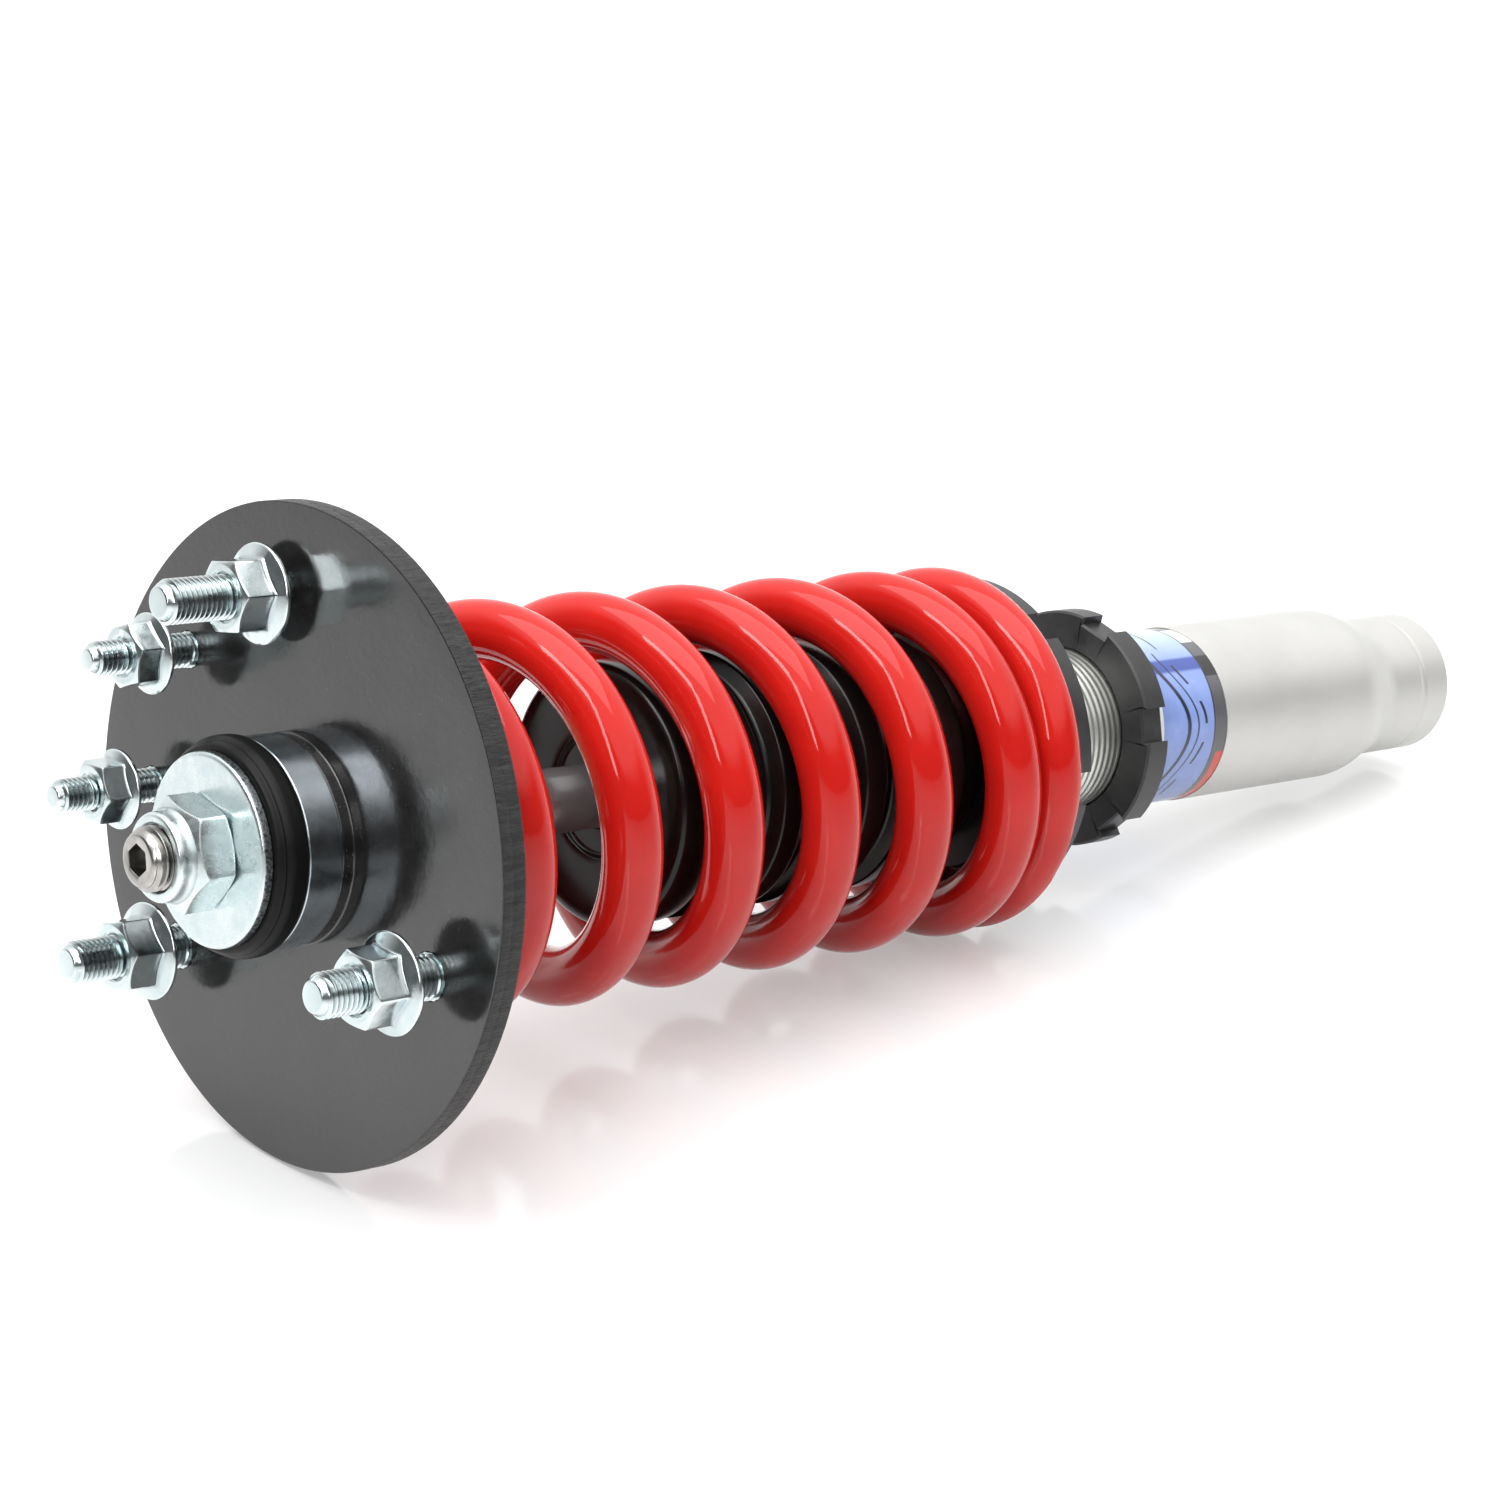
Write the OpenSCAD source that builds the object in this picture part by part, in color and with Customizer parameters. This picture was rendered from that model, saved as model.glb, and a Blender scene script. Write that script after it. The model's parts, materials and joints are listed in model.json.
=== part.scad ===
// Coilover suspension strut: top mount, coil spring, twin-tube damper and threaded lower sleeve.
// Millimetres. +Z runs up the damper's axis, towards the top mount.
// The origin is the centre of the top plate's upper face, where the studs stand.

/* [Top plate] */
// Radius of the top plate
plate_r = 72; // [70:0.5:78]
// Thickness of the top plate
plate_t = 6; // [4:0.5:8]
// Radius of the circle that the studs stand on
stud_circle_r = 52.5; // [51:0.5:56]
// Angle of each small stud either side of +X
small_stud_angle = 19.47; // [16:0.01:24]

/* [Studs and flange nuts] */
// Thread radius of the three main studs
stud_big_r = 5; // [5:0.5:6]
// Height of the three main studs above the plate
stud_big_h = 29.5; // [27:0.5:34]
// Thread radius of the two small studs
stud_small_r = 4; // [3:0.5:4]
// Height of the two small studs above the plate
stud_small_h = 26; // [24:0.5:30]
// Heights of the main studs' nuts above the plate
nut_big_seats = [3.5, 7.5, 9.4];
// Heights of the small studs' nuts above the plate
nut_small_seats = [9.2, 8.6];

/* [Top bush] */
// Outer radius of the bush housing
housing_r = 22.95; // [22:0.05:25]
// Height of the bush housing above the plate
housing_h = 11.7; // [9:0.1:14]
// Outer radius of the upper bush
bush_r = 23.8; // [23.5:0.1:26]
// Radius of the top washer
washer_r = 20.9; // [18:0.1:22]
// Height of the top washer's upper face above the plate
washer_top = 21.9; // [20.5:0.1:24]
// Height of the rod's tip above the plate
rod_tip = 38.8; // [37:0.1:44]

/* [Spring] */
// Outer radius of the coil spring at its lower end
spring_r = 45.8; // [45:0.1:47]
// How much larger the spring's radius is at its upper end
spring_taper = 2; // [0:0.1:2]
// Radius of the spring's wire
wire_r = 6.8; // [6:0.1:6.9]
// Length of the spring between its ground ends
spring_h = 190.3; // [175:0.1:205]
// Rise of one working turn
spring_pitch = 30; // [26:0.1:32]
// Direction of the lower ground tip
tip_angle = 140; // [0:0.5:360]

/* [Perch, lock ring and sleeve] */
// Radius of the spring perch
perch_r = 41; // [39:0.5:44]
// Thickness of the perch's flange
perch_t = 6.4; // [5:0.1:8]
// Radius of the lock ring
lock_r = 30; // [28:0.5:33]
// Thickness of the lock ring
lock_t = 7.6; // [6:0.1:10]
// Bare thread between the perch and the lock ring
bare_thread = 32.4; // [31:0.1:45]
// Outer radius of the lower sleeve
sleeve_r = 22.7; // [22.4:0.1:25]
// Length of the lower sleeve with its spigot
sleeve_h = 127.9; // [126:0.1:140]
// Radius of the sleeve's lower spigot
spigot_r = 18.5; // [17:0.1:20]

/* [Damper] */
// Outer radius of the threaded body
body_r = 20.5; // [20.5:0.1:20.5]
// Radius of the piston rod
rod_r = 7.5; // [7.5:0.1:9]
// Bore radius of the inner cylinder
bore_r = 13.5; // [13.5:0.1:13.5]
// Outer radius of the dust boot
boot_r = 30.6; // [28:0.1:31.5]
// Number of folds in the dust boot
boot_folds = 7; // [5:1:9]

/* [Hidden] */
$fn = 96;

fit = 0.05;             // radial clearance of a running fit
big_angles = [-60, 60, 180];
small_angles = [-small_stud_angle, small_stud_angle];
thread_play = 0.2;      // how much less the stud's threaded length measures than its shank
knurl = 0.3;            // how much more the stud's pressed-in length measures than its shank
rod_thread_r = 6.95;
rod_hole_r = 7.1;
hub_bore_r = 20.6;
collar_h = 3.1;
bush_neck_r = 19.2;
bush_split = 3;
sleeve_tube_r = 10;
bush_low = -plate_t - 5;
washer_t = 2.6;
lower_washer_t = 2.5;
shoulder_z = bush_low - lower_washer_t;

seat_pad_t = 2.7;
seat_top_z = -plate_t - seat_pad_t;
seat_low_z = seat_top_z - spring_h;
slip_t = 1.2;
perch_top_z = seat_low_z - slip_t;
perch_rear_z = perch_top_z - perch_t;
lock_top_z = perch_rear_z - bare_thread;
sleeve_top_z = lock_top_z - lock_t;
sleeve_end_z = sleeve_top_z - sleeve_h;

spring_in_r = spring_r - 2 * wire_r;
tip_drop = 1.6;         // how far outside the end plane the wire's centre starts
turn_gap = 0.3;         // air between the wire's tip and the next turn
closed_slope = 2;       // rise of a closed turn, if it went on flat for a whole turn
nest_turns = 0.16;      // turns from the tip over which the wire lies along the next turn
nest_blend = 0.06;
open_turns = nest_turns + (spring_pitch - 2 * wire_r - turn_gap) / (spring_pitch - closed_slope);
open_blend = 0.15;
first_rise = 2 * wire_r + turn_gap - tip_drop;
spring_turns = 2 + (spring_h - 2 * first_rise) / spring_pitch;
spring_steps = 28;      // rings in one turn
spring_sides = 12;

body_top_z = -152;
body_low_z = -322;
body_wall = 2.5;
body_in_r = body_r - body_wall;
body_floor_t = 3;
cap_t = 8;
cap_rim_t = 2;
guide_t = 12;
guide_top_z = body_top_z - cap_t;
guide_low_z = guide_top_z - guide_t;
seal_t = 4;
cylinder_wall = 1.5;
valve_t = 8;
valve_low_z = body_low_z + body_floor_t;
valve_spigot = 5;
stop_t = 8;
stop_top_z = guide_low_z - 5.3;
shim_t = 0.4;
shim_radii = [11.5, 10.5, 9.5];
piston_t = 11;
piston_top_z = stop_top_z - stop_t - len(shim_radii) * shim_t;
piston_low_z = piston_top_z - piston_t;
tail_r = 5;
piston_nut_t = 8;
nut_top_z = piston_low_z - len(shim_radii) * shim_t;
bump_r = 11.5;
bump_low_z = -58;
boot_top_z = -83.5;
boot_low_z = -190;
boot_wall = 1.2;
boot_hole_r = 12.5;
boot_depth = 3.6;
spigot_top_z = sleeve_end_z + 24.5;
taper_top_z = spigot_top_z + 12;
sleeve_floor_z = taper_top_z + 2;
plug_r = 15;
recess_depth = 0.4;     // depth of the turned-down length that the label is stuck on
label_t = 0.12;
label_top_z = sleeve_top_z - 1.5;
label_low_z = label_top_z - 29.3;

// A solid turned about the Z axis from an outline of [radius, height] points.
module turned(outline) {
    rotate_extrude() polygon(outline);
}

// A plain ring or tube between two heights.
module ring(outer_r, inner_r, low, high) {
    translate([0, 0, low]) difference() {
        cylinder(r = outer_r, h = high - low);
        translate([0, 0, -1]) cylinder(r = inner_r, h = high - low + 2);
    }
}

// Puts the children at an angle on the stud circle, level with the plate's upper face.
module on_stud_circle(angle) {
    rotate(angle) translate([stud_circle_r, 0, 0]) children();
}

module stud_hole(r) {
    translate([0, 0, -plate_t - 1]) cylinder(r = r, h = plate_t + 2);
}

module top_plate() {
    color([0.16, 0.16, 0.17]) difference() {
        union() {
            translate([0, 0, -plate_t]) cylinder(r = plate_r, h = plate_t, $fn = 180);
            cylinder(r = housing_r - 0.35, h = collar_h);
        }
        translate([0, 0, -plate_t - 1]) cylinder(r = hub_bore_r, h = plate_t + collar_h + 2);
        for (angle = big_angles)
            on_stud_circle(angle) stud_hole(stud_big_r + knurl);
        for (angle = small_angles)
            on_stud_circle(angle) stud_hole(stud_small_r + knurl);
    }
}

// A pressed-in stud: head under the plate, knurl in it, full shank up to the nut, thread to a chamfered tip.
module stud(r, height, seat) {
    head_t = 1.6;
    thread_r = r - thread_play;
    turned([[0, -plate_t - head_t], [r + 1.2, -plate_t - head_t], [r + 1.2, -plate_t],
        [r + knurl, -plate_t], [r + knurl, 0], [r, 0], [r, seat], [thread_r, seat], [thread_r, height - 0.8], [thread_r - 0.8, height], [0, height]]);
}

// A flange nut standing on its flange.
module flange_nut(r, across_flats, flange_r, height) {
    corner_r = across_flats / sqrt(3);
    rim_t = 1.2;
    difference() {
        union() {
            turned([[0, 0], [flange_r - 0.3, 0], [flange_r, 0.3], [flange_r, rim_t],
                [across_flats / 2, rim_t + 1.6], [0, rim_t + 1.6]]);
            intersection() {
                cylinder(r = corner_r, h = height, $fn = 6);
                turned([[0, 0], [corner_r, 0], [corner_r, height - 1], [across_flats / 2 - 0.3, height],
                    [0, height]]);
            }
        }
        translate([0, 0, -1]) cylinder(r = r - thread_play + fit, h = height + 2);
    }
}

module mount_studs_large() {
    color([0.78, 0.82, 0.84]) for (i = [0 : len(big_angles) - 1])
        on_stud_circle(big_angles[i]) stud(stud_big_r, stud_big_h, nut_big_seats[i]);
}

module mount_studs_small() {
    color([0.78, 0.82, 0.84]) for (i = [0 : len(small_angles) - 1])
        on_stud_circle(small_angles[i]) stud(stud_small_r, stud_small_h, nut_small_seats[i]);
}

module flange_nuts_large() {
    color([0.8, 0.85, 0.86]) for (i = [0 : len(big_angles) - 1])
        on_stud_circle(big_angles[i]) translate([0, 0, nut_big_seats[i]]) flange_nut(stud_big_r, 15, 10.9, 10);
}

module flange_nuts_small() {
    color([0.8, 0.85, 0.86]) for (i = [0 : len(small_angles) - 1])
        on_stud_circle(small_angles[i]) translate([0, 0, nut_small_seats[i]])
            flange_nut(stud_small_r, 13, 8.95, 8);
}

module bush_housing() {
    color([0.72, 0.78, 0.8]) turned([[bush_neck_r, -plate_t], [hub_bore_r, -plate_t],
        [hub_bore_r, collar_h], [housing_r, collar_h], [housing_r, housing_h], [bush_neck_r, housing_h]]);
}

module upper_bush() {
    lip_z = washer_top - washer_t;
    color([0.1, 0.1, 0.1]) turned([[sleeve_tube_r, bush_split], [bush_neck_r, bush_split],
        [bush_neck_r, housing_h], [bush_r - 0.6, housing_h], [bush_r, housing_h + 0.8],
        [bush_r, lip_z - 2.6], [bush_r - 1.2, lip_z - 1.8], [bush_r - 1.4, lip_z - 0.6],
        [bush_r - 2.2, lip_z], [sleeve_tube_r, lip_z]]);
}

module lower_bush() {
    color([0.1, 0.1, 0.1]) turned([[sleeve_tube_r, bush_low], [21, bush_low], [22, bush_low + 1],
        [22, -plate_t], [bush_neck_r, -plate_t], [bush_neck_r, bush_split], [sleeve_tube_r, bush_split]]);
}

module bush_sleeve() {
    color([0.6, 0.62, 0.63]) ring(sleeve_tube_r, rod_hole_r, bush_low, washer_top - washer_t);
}

module top_washer() {
    color([0.8, 0.85, 0.86]) turned([[rod_hole_r, washer_top - washer_t], [washer_r - 0.5, washer_top - washer_t],
        [washer_r, washer_top - washer_t + 0.5], [washer_r, washer_top - 0.9], [washer_r - 0.9, washer_top],
        [rod_hole_r, washer_top]]);
}

module lower_washer() {
    color([0.7, 0.73, 0.74]) ring(18, rod_hole_r, shoulder_z, bush_low);
}

module rod_nut() {
    flats = 22;
    corner_r = flats / sqrt(3);
    hex_h = 8.8;
    collar_r = 9.6;
    nut_h = 12.8;
    color([0.82, 0.86, 0.87]) translate([0, 0, washer_top]) difference() {
        union() {
            intersection() {
                cylinder(r = corner_r, h = hex_h, $fn = 6);
                turned([[0, 0], [flats / 2, 0], [corner_r, 0.9], [corner_r, hex_h - 1.6],
                    [flats / 2 - 0.2, hex_h], [0, hex_h]]);
            }
            turned([[0, hex_h - 1], [collar_r, hex_h - 1], [collar_r, nut_h - 1], [collar_r - 1, nut_h],
                [0, nut_h]]);
        }
        translate([0, 0, -1]) cylinder(r = rod_thread_r + fit, h = nut_h + 2);
    }
}

module spring_seat_upper() {
    collar_low_z = seat_top_z - 8;
    collar_r = spring_in_r + spring_taper - 1.4;
    color([0.08, 0.08, 0.08]) turned([[25, collar_low_z], [collar_r - 2, collar_low_z],
        [collar_r, collar_low_z + 3], [collar_r, seat_top_z], [45.5, seat_top_z],
        [45.5, -plate_t], [25, -plate_t]]);
}

// Straight line of slope 1 that starts at x = 0, rounded over a width w each way.
function ramp(x, w) = x <= -w ? 0 : x >= w ? x : (x + w) * (x + w) / (4 * w);

// How far the wire's centre is inside the nearer end plane, n turns from that end's tip.
function end_rise(n) = spring_pitch * n - tip_drop
    - (spring_pitch - closed_slope) * (ramp(n - nest_turns, nest_blend) - ramp(n - open_turns, open_blend));

// Point of the wire's section at angle a, ground flat at height 0, for a centre at height c.
function ground_section(c, a) = c >= 0 || a > 180
    ? [wire_r * cos(a) * (c < 0 ? sqrt(1 - pow(c / wire_r, 2)) : 1), max(c + wire_r * sin(a), 0)]
    : let (start = asin(-c / wire_r), b = start + a * (180 - 2 * start) / 180)
        [wire_r * cos(b), c + wire_r * sin(b)];

// A right-hand coil with closed ends, ground flat where the wire crosses either end plane.
module coil_spring() {
    rings = round(spring_turns * spring_steps);
    points = [for (i = [0 : rings]) let (n = spring_turns * i / rings, turn = tip_angle + 360 * n,
            lower = n < spring_turns / 2, c = end_rise(lower ? n : spring_turns - n),
            mid_r = spring_r - wire_r + spring_taper * i / rings)
        for (j = [0 : spring_sides - 1]) let (a = 360 * (j + 0.5) / spring_sides,
            p = ground_section(c, lower ? a : 360 - a), r = mid_r + p[0], h = lower ? p[1] : spring_h - p[1])
        [r * cos(turn), r * sin(turn), seat_low_z + h]];
    skin = [for (i = [0 : rings - 1]) for (j = [0 : spring_sides - 1])
        let (k = (j + 1) % spring_sides, a = i * spring_sides, b = a + spring_sides)
        [a + j, b + j, b + k, a + k]];
    first = [for (j = [0 : spring_sides - 1]) j];
    last = [for (j = [spring_sides - 1 : -1 : 0]) rings * spring_sides + j];
    color([0.8, 0.08, 0.07]) polyhedron(points, concat(skin, [first], [last]), convexity = 10);
}

module slip_ring() {
    color([0.75, 0.76, 0.77]) ring(perch_r, spring_in_r - 1.5, perch_top_z, seat_low_z);
}

// Wrench slots round the rim of a ring: width across, depth inwards from the rim.
module wrench_slots(rim_r, first_angle, width, depth, low, high) {
    for (i = [0 : 5]) rotate(first_angle + 60 * i)
        translate([rim_r - depth, -width / 2, low - 1]) cube([depth + 2, width, high - low + 2]);
}

module spring_perch() {
    hub_top_z = perch_top_z + 8;
    hub_r = spring_in_r - 2;
    color([0.09, 0.09, 0.1]) difference() {
        turned([[body_r + fit, perch_rear_z], [perch_r - 0.6, perch_rear_z], [perch_r, perch_rear_z + 0.6],
            [perch_r, perch_top_z], [hub_r, perch_top_z], [hub_r, hub_top_z - 2], [hub_r - 1.5, hub_top_z],
            [body_r + fit, hub_top_z]]);
        wrench_slots(perch_r, 15.5, 8.5, 5, perch_rear_z, perch_top_z);
    }
}

module lock_ring() {
    chamfer = 0.6;
    color([0.07, 0.07, 0.08]) difference() {
        turned([[body_r + fit, sleeve_top_z], [lock_r - chamfer, sleeve_top_z],
            [lock_r, sleeve_top_z + chamfer], [lock_r, lock_top_z - chamfer], [lock_r - chamfer, lock_top_z],
            [body_r + fit, lock_top_z]]);
        wrench_slots(lock_r, 32.5, 8.5, 2.2, sleeve_top_z, lock_top_z);
    }
}

module threaded_body() {
    color([0.75, 0.76, 0.73]) turned([[0, body_low_z], [body_r - 1, body_low_z], [body_r, body_low_z + 1],
        [body_r, body_top_z - 1], [body_r - 0.6, body_top_z], [body_in_r, body_top_z],
        [body_in_r, body_low_z + body_floor_t], [0, body_low_z + body_floor_t]]);
}

module body_cap() {
    color([0.35, 0.35, 0.36]) turned([[rod_r + 1, guide_top_z], [body_in_r, guide_top_z],
        [body_in_r, body_top_z], [body_r - 1, body_top_z], [body_r - 1.6, body_top_z + cap_rim_t],
        [rod_r + 1, body_top_z + cap_rim_t]]);
}

module rod_guide() {
    color([0.5, 0.5, 0.5]) difference() {
        turned([[rod_r + 1.5, guide_low_z - 4], [bore_r, guide_low_z - 4], [bore_r, guide_low_z],
            [body_in_r, guide_low_z], [body_in_r, guide_top_z], [rod_r + 4, guide_top_z],
            [rod_r + 4, guide_top_z - seal_t], [rod_r + 1.5, guide_top_z - seal_t]]);
        ring(body_in_r + 1, body_in_r - 1.6, guide_low_z + 3, guide_low_z + 5);
    }
}

module guide_bush() {
    color([0.55, 0.45, 0.25]) ring(rod_r + 1.5, rod_r + fit, guide_low_z - 4, guide_top_z - seal_t);
}

module rod_seal() {
    color([0.05, 0.05, 0.05]) turned([[rod_r + fit, guide_top_z - seal_t + 1], [rod_r + 1.6, guide_top_z - seal_t],
        [rod_r + 4, guide_top_z - seal_t], [rod_r + 4, guide_top_z], [rod_r + 1.6, guide_top_z],
        [rod_r + fit, guide_top_z - 1]]);
}

module guide_o_ring() {
    section_r = 0.78;
    color([0.05, 0.05, 0.05]) translate([0, 0, guide_low_z + 4]) rotate_extrude()
        translate([body_in_r - 0.8, 0]) circle(r = section_r, $fn = 24);
}

module inner_cylinder() {
    color([0.65, 0.66, 0.67]) ring(bore_r + cylinder_wall, bore_r, valve_low_z + valve_t, guide_low_z);
}

module base_valve() {
    slot_t = 2;
    color([0.55, 0.5, 0.4]) difference() {
        turned([[0, valve_low_z], [bore_r + cylinder_wall, valve_low_z],
            [bore_r + cylinder_wall, valve_low_z + valve_t], [bore_r, valve_low_z + valve_t],
            [bore_r, valve_low_z + valve_t + valve_spigot], [4, valve_low_z + valve_t + valve_spigot],
            [4, valve_low_z + valve_t + valve_spigot + 3], [0, valve_low_z + valve_t + valve_spigot + 3]]);
        for (i = [0 : 3]) rotate(90 * i) translate([5, -slot_t, valve_low_z - 1])
            cube([bore_r, 2 * slot_t, slot_t + 1]);
    }
}

// Folds of the boot as [radius, height] points down its outside; the inside follows a wall's width in.
module dust_boot() {
    fold_h = (boot_top_z - 6 - (boot_low_z + 10)) / boot_folds;
    valley_r = boot_r - boot_depth;
    outside = [for (i = [0 : boot_folds - 1]) let (z = boot_top_z - 6 - i * fold_h)
        each [[boot_r, z], [boot_r, z - fold_h * 0.45], [valley_r, z - fold_h * 0.6], [valley_r, z - fold_h * 0.85]]];
    inside = [for (i = [len(outside) - 1 : -1 : 0]) [outside[i][0] - boot_wall, outside[i][1]]];
    cuff_r = body_r;
    color([0.1, 0.1, 0.1]) turned(concat(
        [[boot_hole_r, boot_top_z], [boot_r - 1.5, boot_top_z], [boot_r, boot_top_z - 1.5]], outside,
        [[valley_r, boot_low_z + 9], [cuff_r + 2, boot_low_z + 5], [cuff_r + 2, boot_low_z],
        [cuff_r, boot_low_z], [cuff_r, boot_low_z + 6], [valley_r - boot_wall, boot_low_z + 11]],
        inside, [[boot_r - boot_wall, boot_top_z - boot_wall], [boot_hole_r, boot_top_z - boot_wall]]));
}

module bump_stop() {
    groove = 2;
    top = shoulder_z;
    step = (top - bump_low_z) / 4;
    outside = [for (i = [0 : 3]) let (z = top - i * step) each
        [[bump_r, z], [bump_r, z - step * 0.62], [bump_r - groove, z - step * 0.75], [bump_r - groove, z - step * 0.9]]];
    color([0.85, 0.8, 0.6]) turned(concat([[rod_r, top]], outside,
        [[bump_r - groove, bump_low_z], [rod_r, bump_low_z]]));
}

module piston_rod() {
    socket_flats = 6;
    tail_low_z = nut_top_z - piston_nut_t - 2;
    color([0.7, 0.7, 0.7]) difference() {
        turned([[0, tail_low_z], [tail_r - 1, tail_low_z], [tail_r, tail_low_z + 1], [tail_r, stop_top_z - stop_t],
            [rod_r, stop_top_z - stop_t], [rod_r, shoulder_z], [rod_thread_r, shoulder_z],
            [rod_thread_r, rod_tip - 1.8], [rod_thread_r - 1.3, rod_tip], [0, rod_tip]]);
        translate([0, 0, rod_tip - 6]) cylinder(r = socket_flats / sqrt(3), h = 7, $fn = 6);
    }
}

module rebound_stop() {
    color([0.6, 0.6, 0.6]) ring(11, rod_r, stop_top_z - stop_t, stop_top_z);
}

// A stack of thin discs, the widest against the piston at height z; side is 1 above and -1 below.
module shim_stack(z, side) {
    for (i = [0 : len(shim_radii) - 1]) {
        low = side > 0 ? z + i * shim_t : z - (i + 1) * shim_t;
        ring(shim_radii[i], tail_r, low, low + shim_t);
    }
}

module compression_shims() {
    color([0.6, 0.62, 0.65]) shim_stack(piston_top_z, 1);
}

module rebound_shims() {
    color([0.6, 0.62, 0.65]) shim_stack(piston_low_z, -1);
}

module piston() {
    port_r = 1.5;
    color([0.45, 0.45, 0.45]) difference() {
        ring(bore_r - 0.3, tail_r, piston_low_z, piston_top_z);
        ring(bore_r + 1, bore_r - 1.1, piston_low_z + 2.5, piston_top_z - 2.5);
        for (i = [0 : 5]) rotate(60 * i) translate([8, 0, piston_low_z - 1]) cylinder(r = port_r, h = piston_t + 2);
    }
}

module piston_band() {
    color([0.3, 0.25, 0.2]) ring(bore_r - fit, bore_r - 1.1, piston_low_z + 2.5, piston_top_z - 2.5);
}

module piston_nut() {
    color([0.7, 0.73, 0.74]) translate([0, 0, nut_top_z - piston_nut_t]) difference() {
        cylinder(r = 17 / sqrt(3), h = piston_nut_t, $fn = 6);
        translate([0, 0, -1]) cylinder(r = tail_r, h = piston_nut_t + 2);
    }
}

// Screwed onto the body's thread; a taper leads down to the spigot. The label lies in a shallow recess.
module lower_sleeve() {
    recess_r = sleeve_r - recess_depth;
    color([0.82, 0.82, 0.8]) turned([[body_r + fit, sleeve_top_z], [recess_r, sleeve_top_z],
        [recess_r, label_low_z], [sleeve_r, label_low_z],
        [sleeve_r, taper_top_z], [spigot_r, spigot_top_z], [spigot_r, sleeve_end_z + 1],
        [spigot_r - 0.7, sleeve_end_z], [plug_r, sleeve_end_z], [plug_r, sleeve_floor_z],
        [body_r + fit, sleeve_floor_z]]);
}

module end_plug() {
    color([0.6, 0.6, 0.6]) turned([[0, sleeve_end_z + 1], [plug_r - 0.5, sleeve_end_z + 1],
        [plug_r, sleeve_end_z + 1.5], [plug_r, sleeve_end_z + 5], [0, sleeve_end_z + 5]]);
}

module sleeve_label() {
    recess_r = sleeve_r - recess_depth;
    color([0.35, 0.5, 0.85]) ring(recess_r + label_t, recess_r, label_low_z, label_top_z);
}

top_plate();
mount_studs_large();
mount_studs_small();
flange_nuts_large();
flange_nuts_small();
bush_housing();
upper_bush();
lower_bush();
bush_sleeve();
top_washer();
lower_washer();
rod_nut();
spring_seat_upper();
coil_spring();
slip_ring();
spring_perch();
lock_ring();
threaded_body();
body_cap();
rod_seal();
rod_guide();
guide_bush();
guide_o_ring();
inner_cylinder();
base_valve();
dust_boot();
bump_stop();
piston_rod();
rebound_stop();
compression_shims();
piston();
piston_band();
rebound_shims();
piston_nut();
lower_sleeve();
end_plug();
sleeve_label();
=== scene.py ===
import json
import math

import bmesh
import bpy
import numpy as np
from mathutils import Matrix, Vector, noise


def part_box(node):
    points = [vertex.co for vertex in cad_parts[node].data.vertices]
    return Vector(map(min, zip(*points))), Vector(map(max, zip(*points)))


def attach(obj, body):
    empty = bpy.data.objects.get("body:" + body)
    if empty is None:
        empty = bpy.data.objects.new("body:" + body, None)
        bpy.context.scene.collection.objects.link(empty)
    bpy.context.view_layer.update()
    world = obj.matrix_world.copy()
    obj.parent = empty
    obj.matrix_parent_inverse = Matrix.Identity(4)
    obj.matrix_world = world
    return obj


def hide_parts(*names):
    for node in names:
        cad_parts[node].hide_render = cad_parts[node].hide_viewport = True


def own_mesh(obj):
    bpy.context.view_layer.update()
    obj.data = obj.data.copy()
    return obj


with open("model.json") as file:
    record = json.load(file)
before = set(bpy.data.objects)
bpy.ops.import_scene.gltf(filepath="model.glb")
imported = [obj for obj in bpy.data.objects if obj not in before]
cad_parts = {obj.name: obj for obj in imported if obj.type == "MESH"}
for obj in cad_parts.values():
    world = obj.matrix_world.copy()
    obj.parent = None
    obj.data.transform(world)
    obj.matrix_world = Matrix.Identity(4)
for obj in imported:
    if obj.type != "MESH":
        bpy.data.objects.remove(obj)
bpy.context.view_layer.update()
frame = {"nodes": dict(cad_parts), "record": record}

scene = bpy.context.scene

# ---------------------------------------------------------------- driving values, lengths in millimetres
BIG_PITCH = 1.25          # thread pitch of the M10 studs
SMALL_PITCH = 1.25        # thread pitch of the M8 studs
ROD_PITCH = 1.5           # thread pitch of the rod's end
BODY_PITCH = 2.0          # thread pitch of the damper body
BIG_THREAD_R = 4.85       # crest radius of the M10 studs' thread
SMALL_THREAD_R = 3.85     # crest radius of the M8 studs' thread
ROD_THREAD_R = 6.95       # crest radius of the rod's thread
THREAD_DEPTH = 0.6134     # depth of a thread, as a share of its pitch
BIG_ACROSS, SMALL_ACROSS = 15, 13         # width of the flange nuts across their flats
PLATE_HOLE_R = 20.6       # radius of the plate's bore, which the bush's housing fits
NECK_R = 19.2             # radius of the bushes inside that housing
BODY_WALL = 2.5           # wall of the damper body
RECESS = 0.4              # depth of the sleeve's recess under its label
WIRE_R = 6.8              # radius of the spring's wire
SPRING_PITCH = 30.0       # rise of one working turn
SPRING_TIP = 120          # direction of the lower ground tip, in degrees
SPRING_TAPER = 2.0        # how much larger the spring's radius is at its upper end
SPRING_LEAN = 2.4         # how far the spring leans over its height, lying on its side in its seats
TIP_DROP = 3.27           # how far outside the end plane the wire's centre starts
TURN_GAP = 0.3            # air between the wire's tip and the next turn
CLOSED_SLOPE = 2.0        # rise of a closed turn, if it went on flat for a whole turn
NEST_TURNS = 0.216        # turns from the tip to where the closed turn starts
NEST_BLEND = 0.06         # reach of the bend there, in turns
OPEN_BLEND = 0.15         # reach of the bend where the closed turn opens out, in turns
PERCH_SLOT_START = 15.5   # direction of the perch's first wrench slot, in degrees
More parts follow.
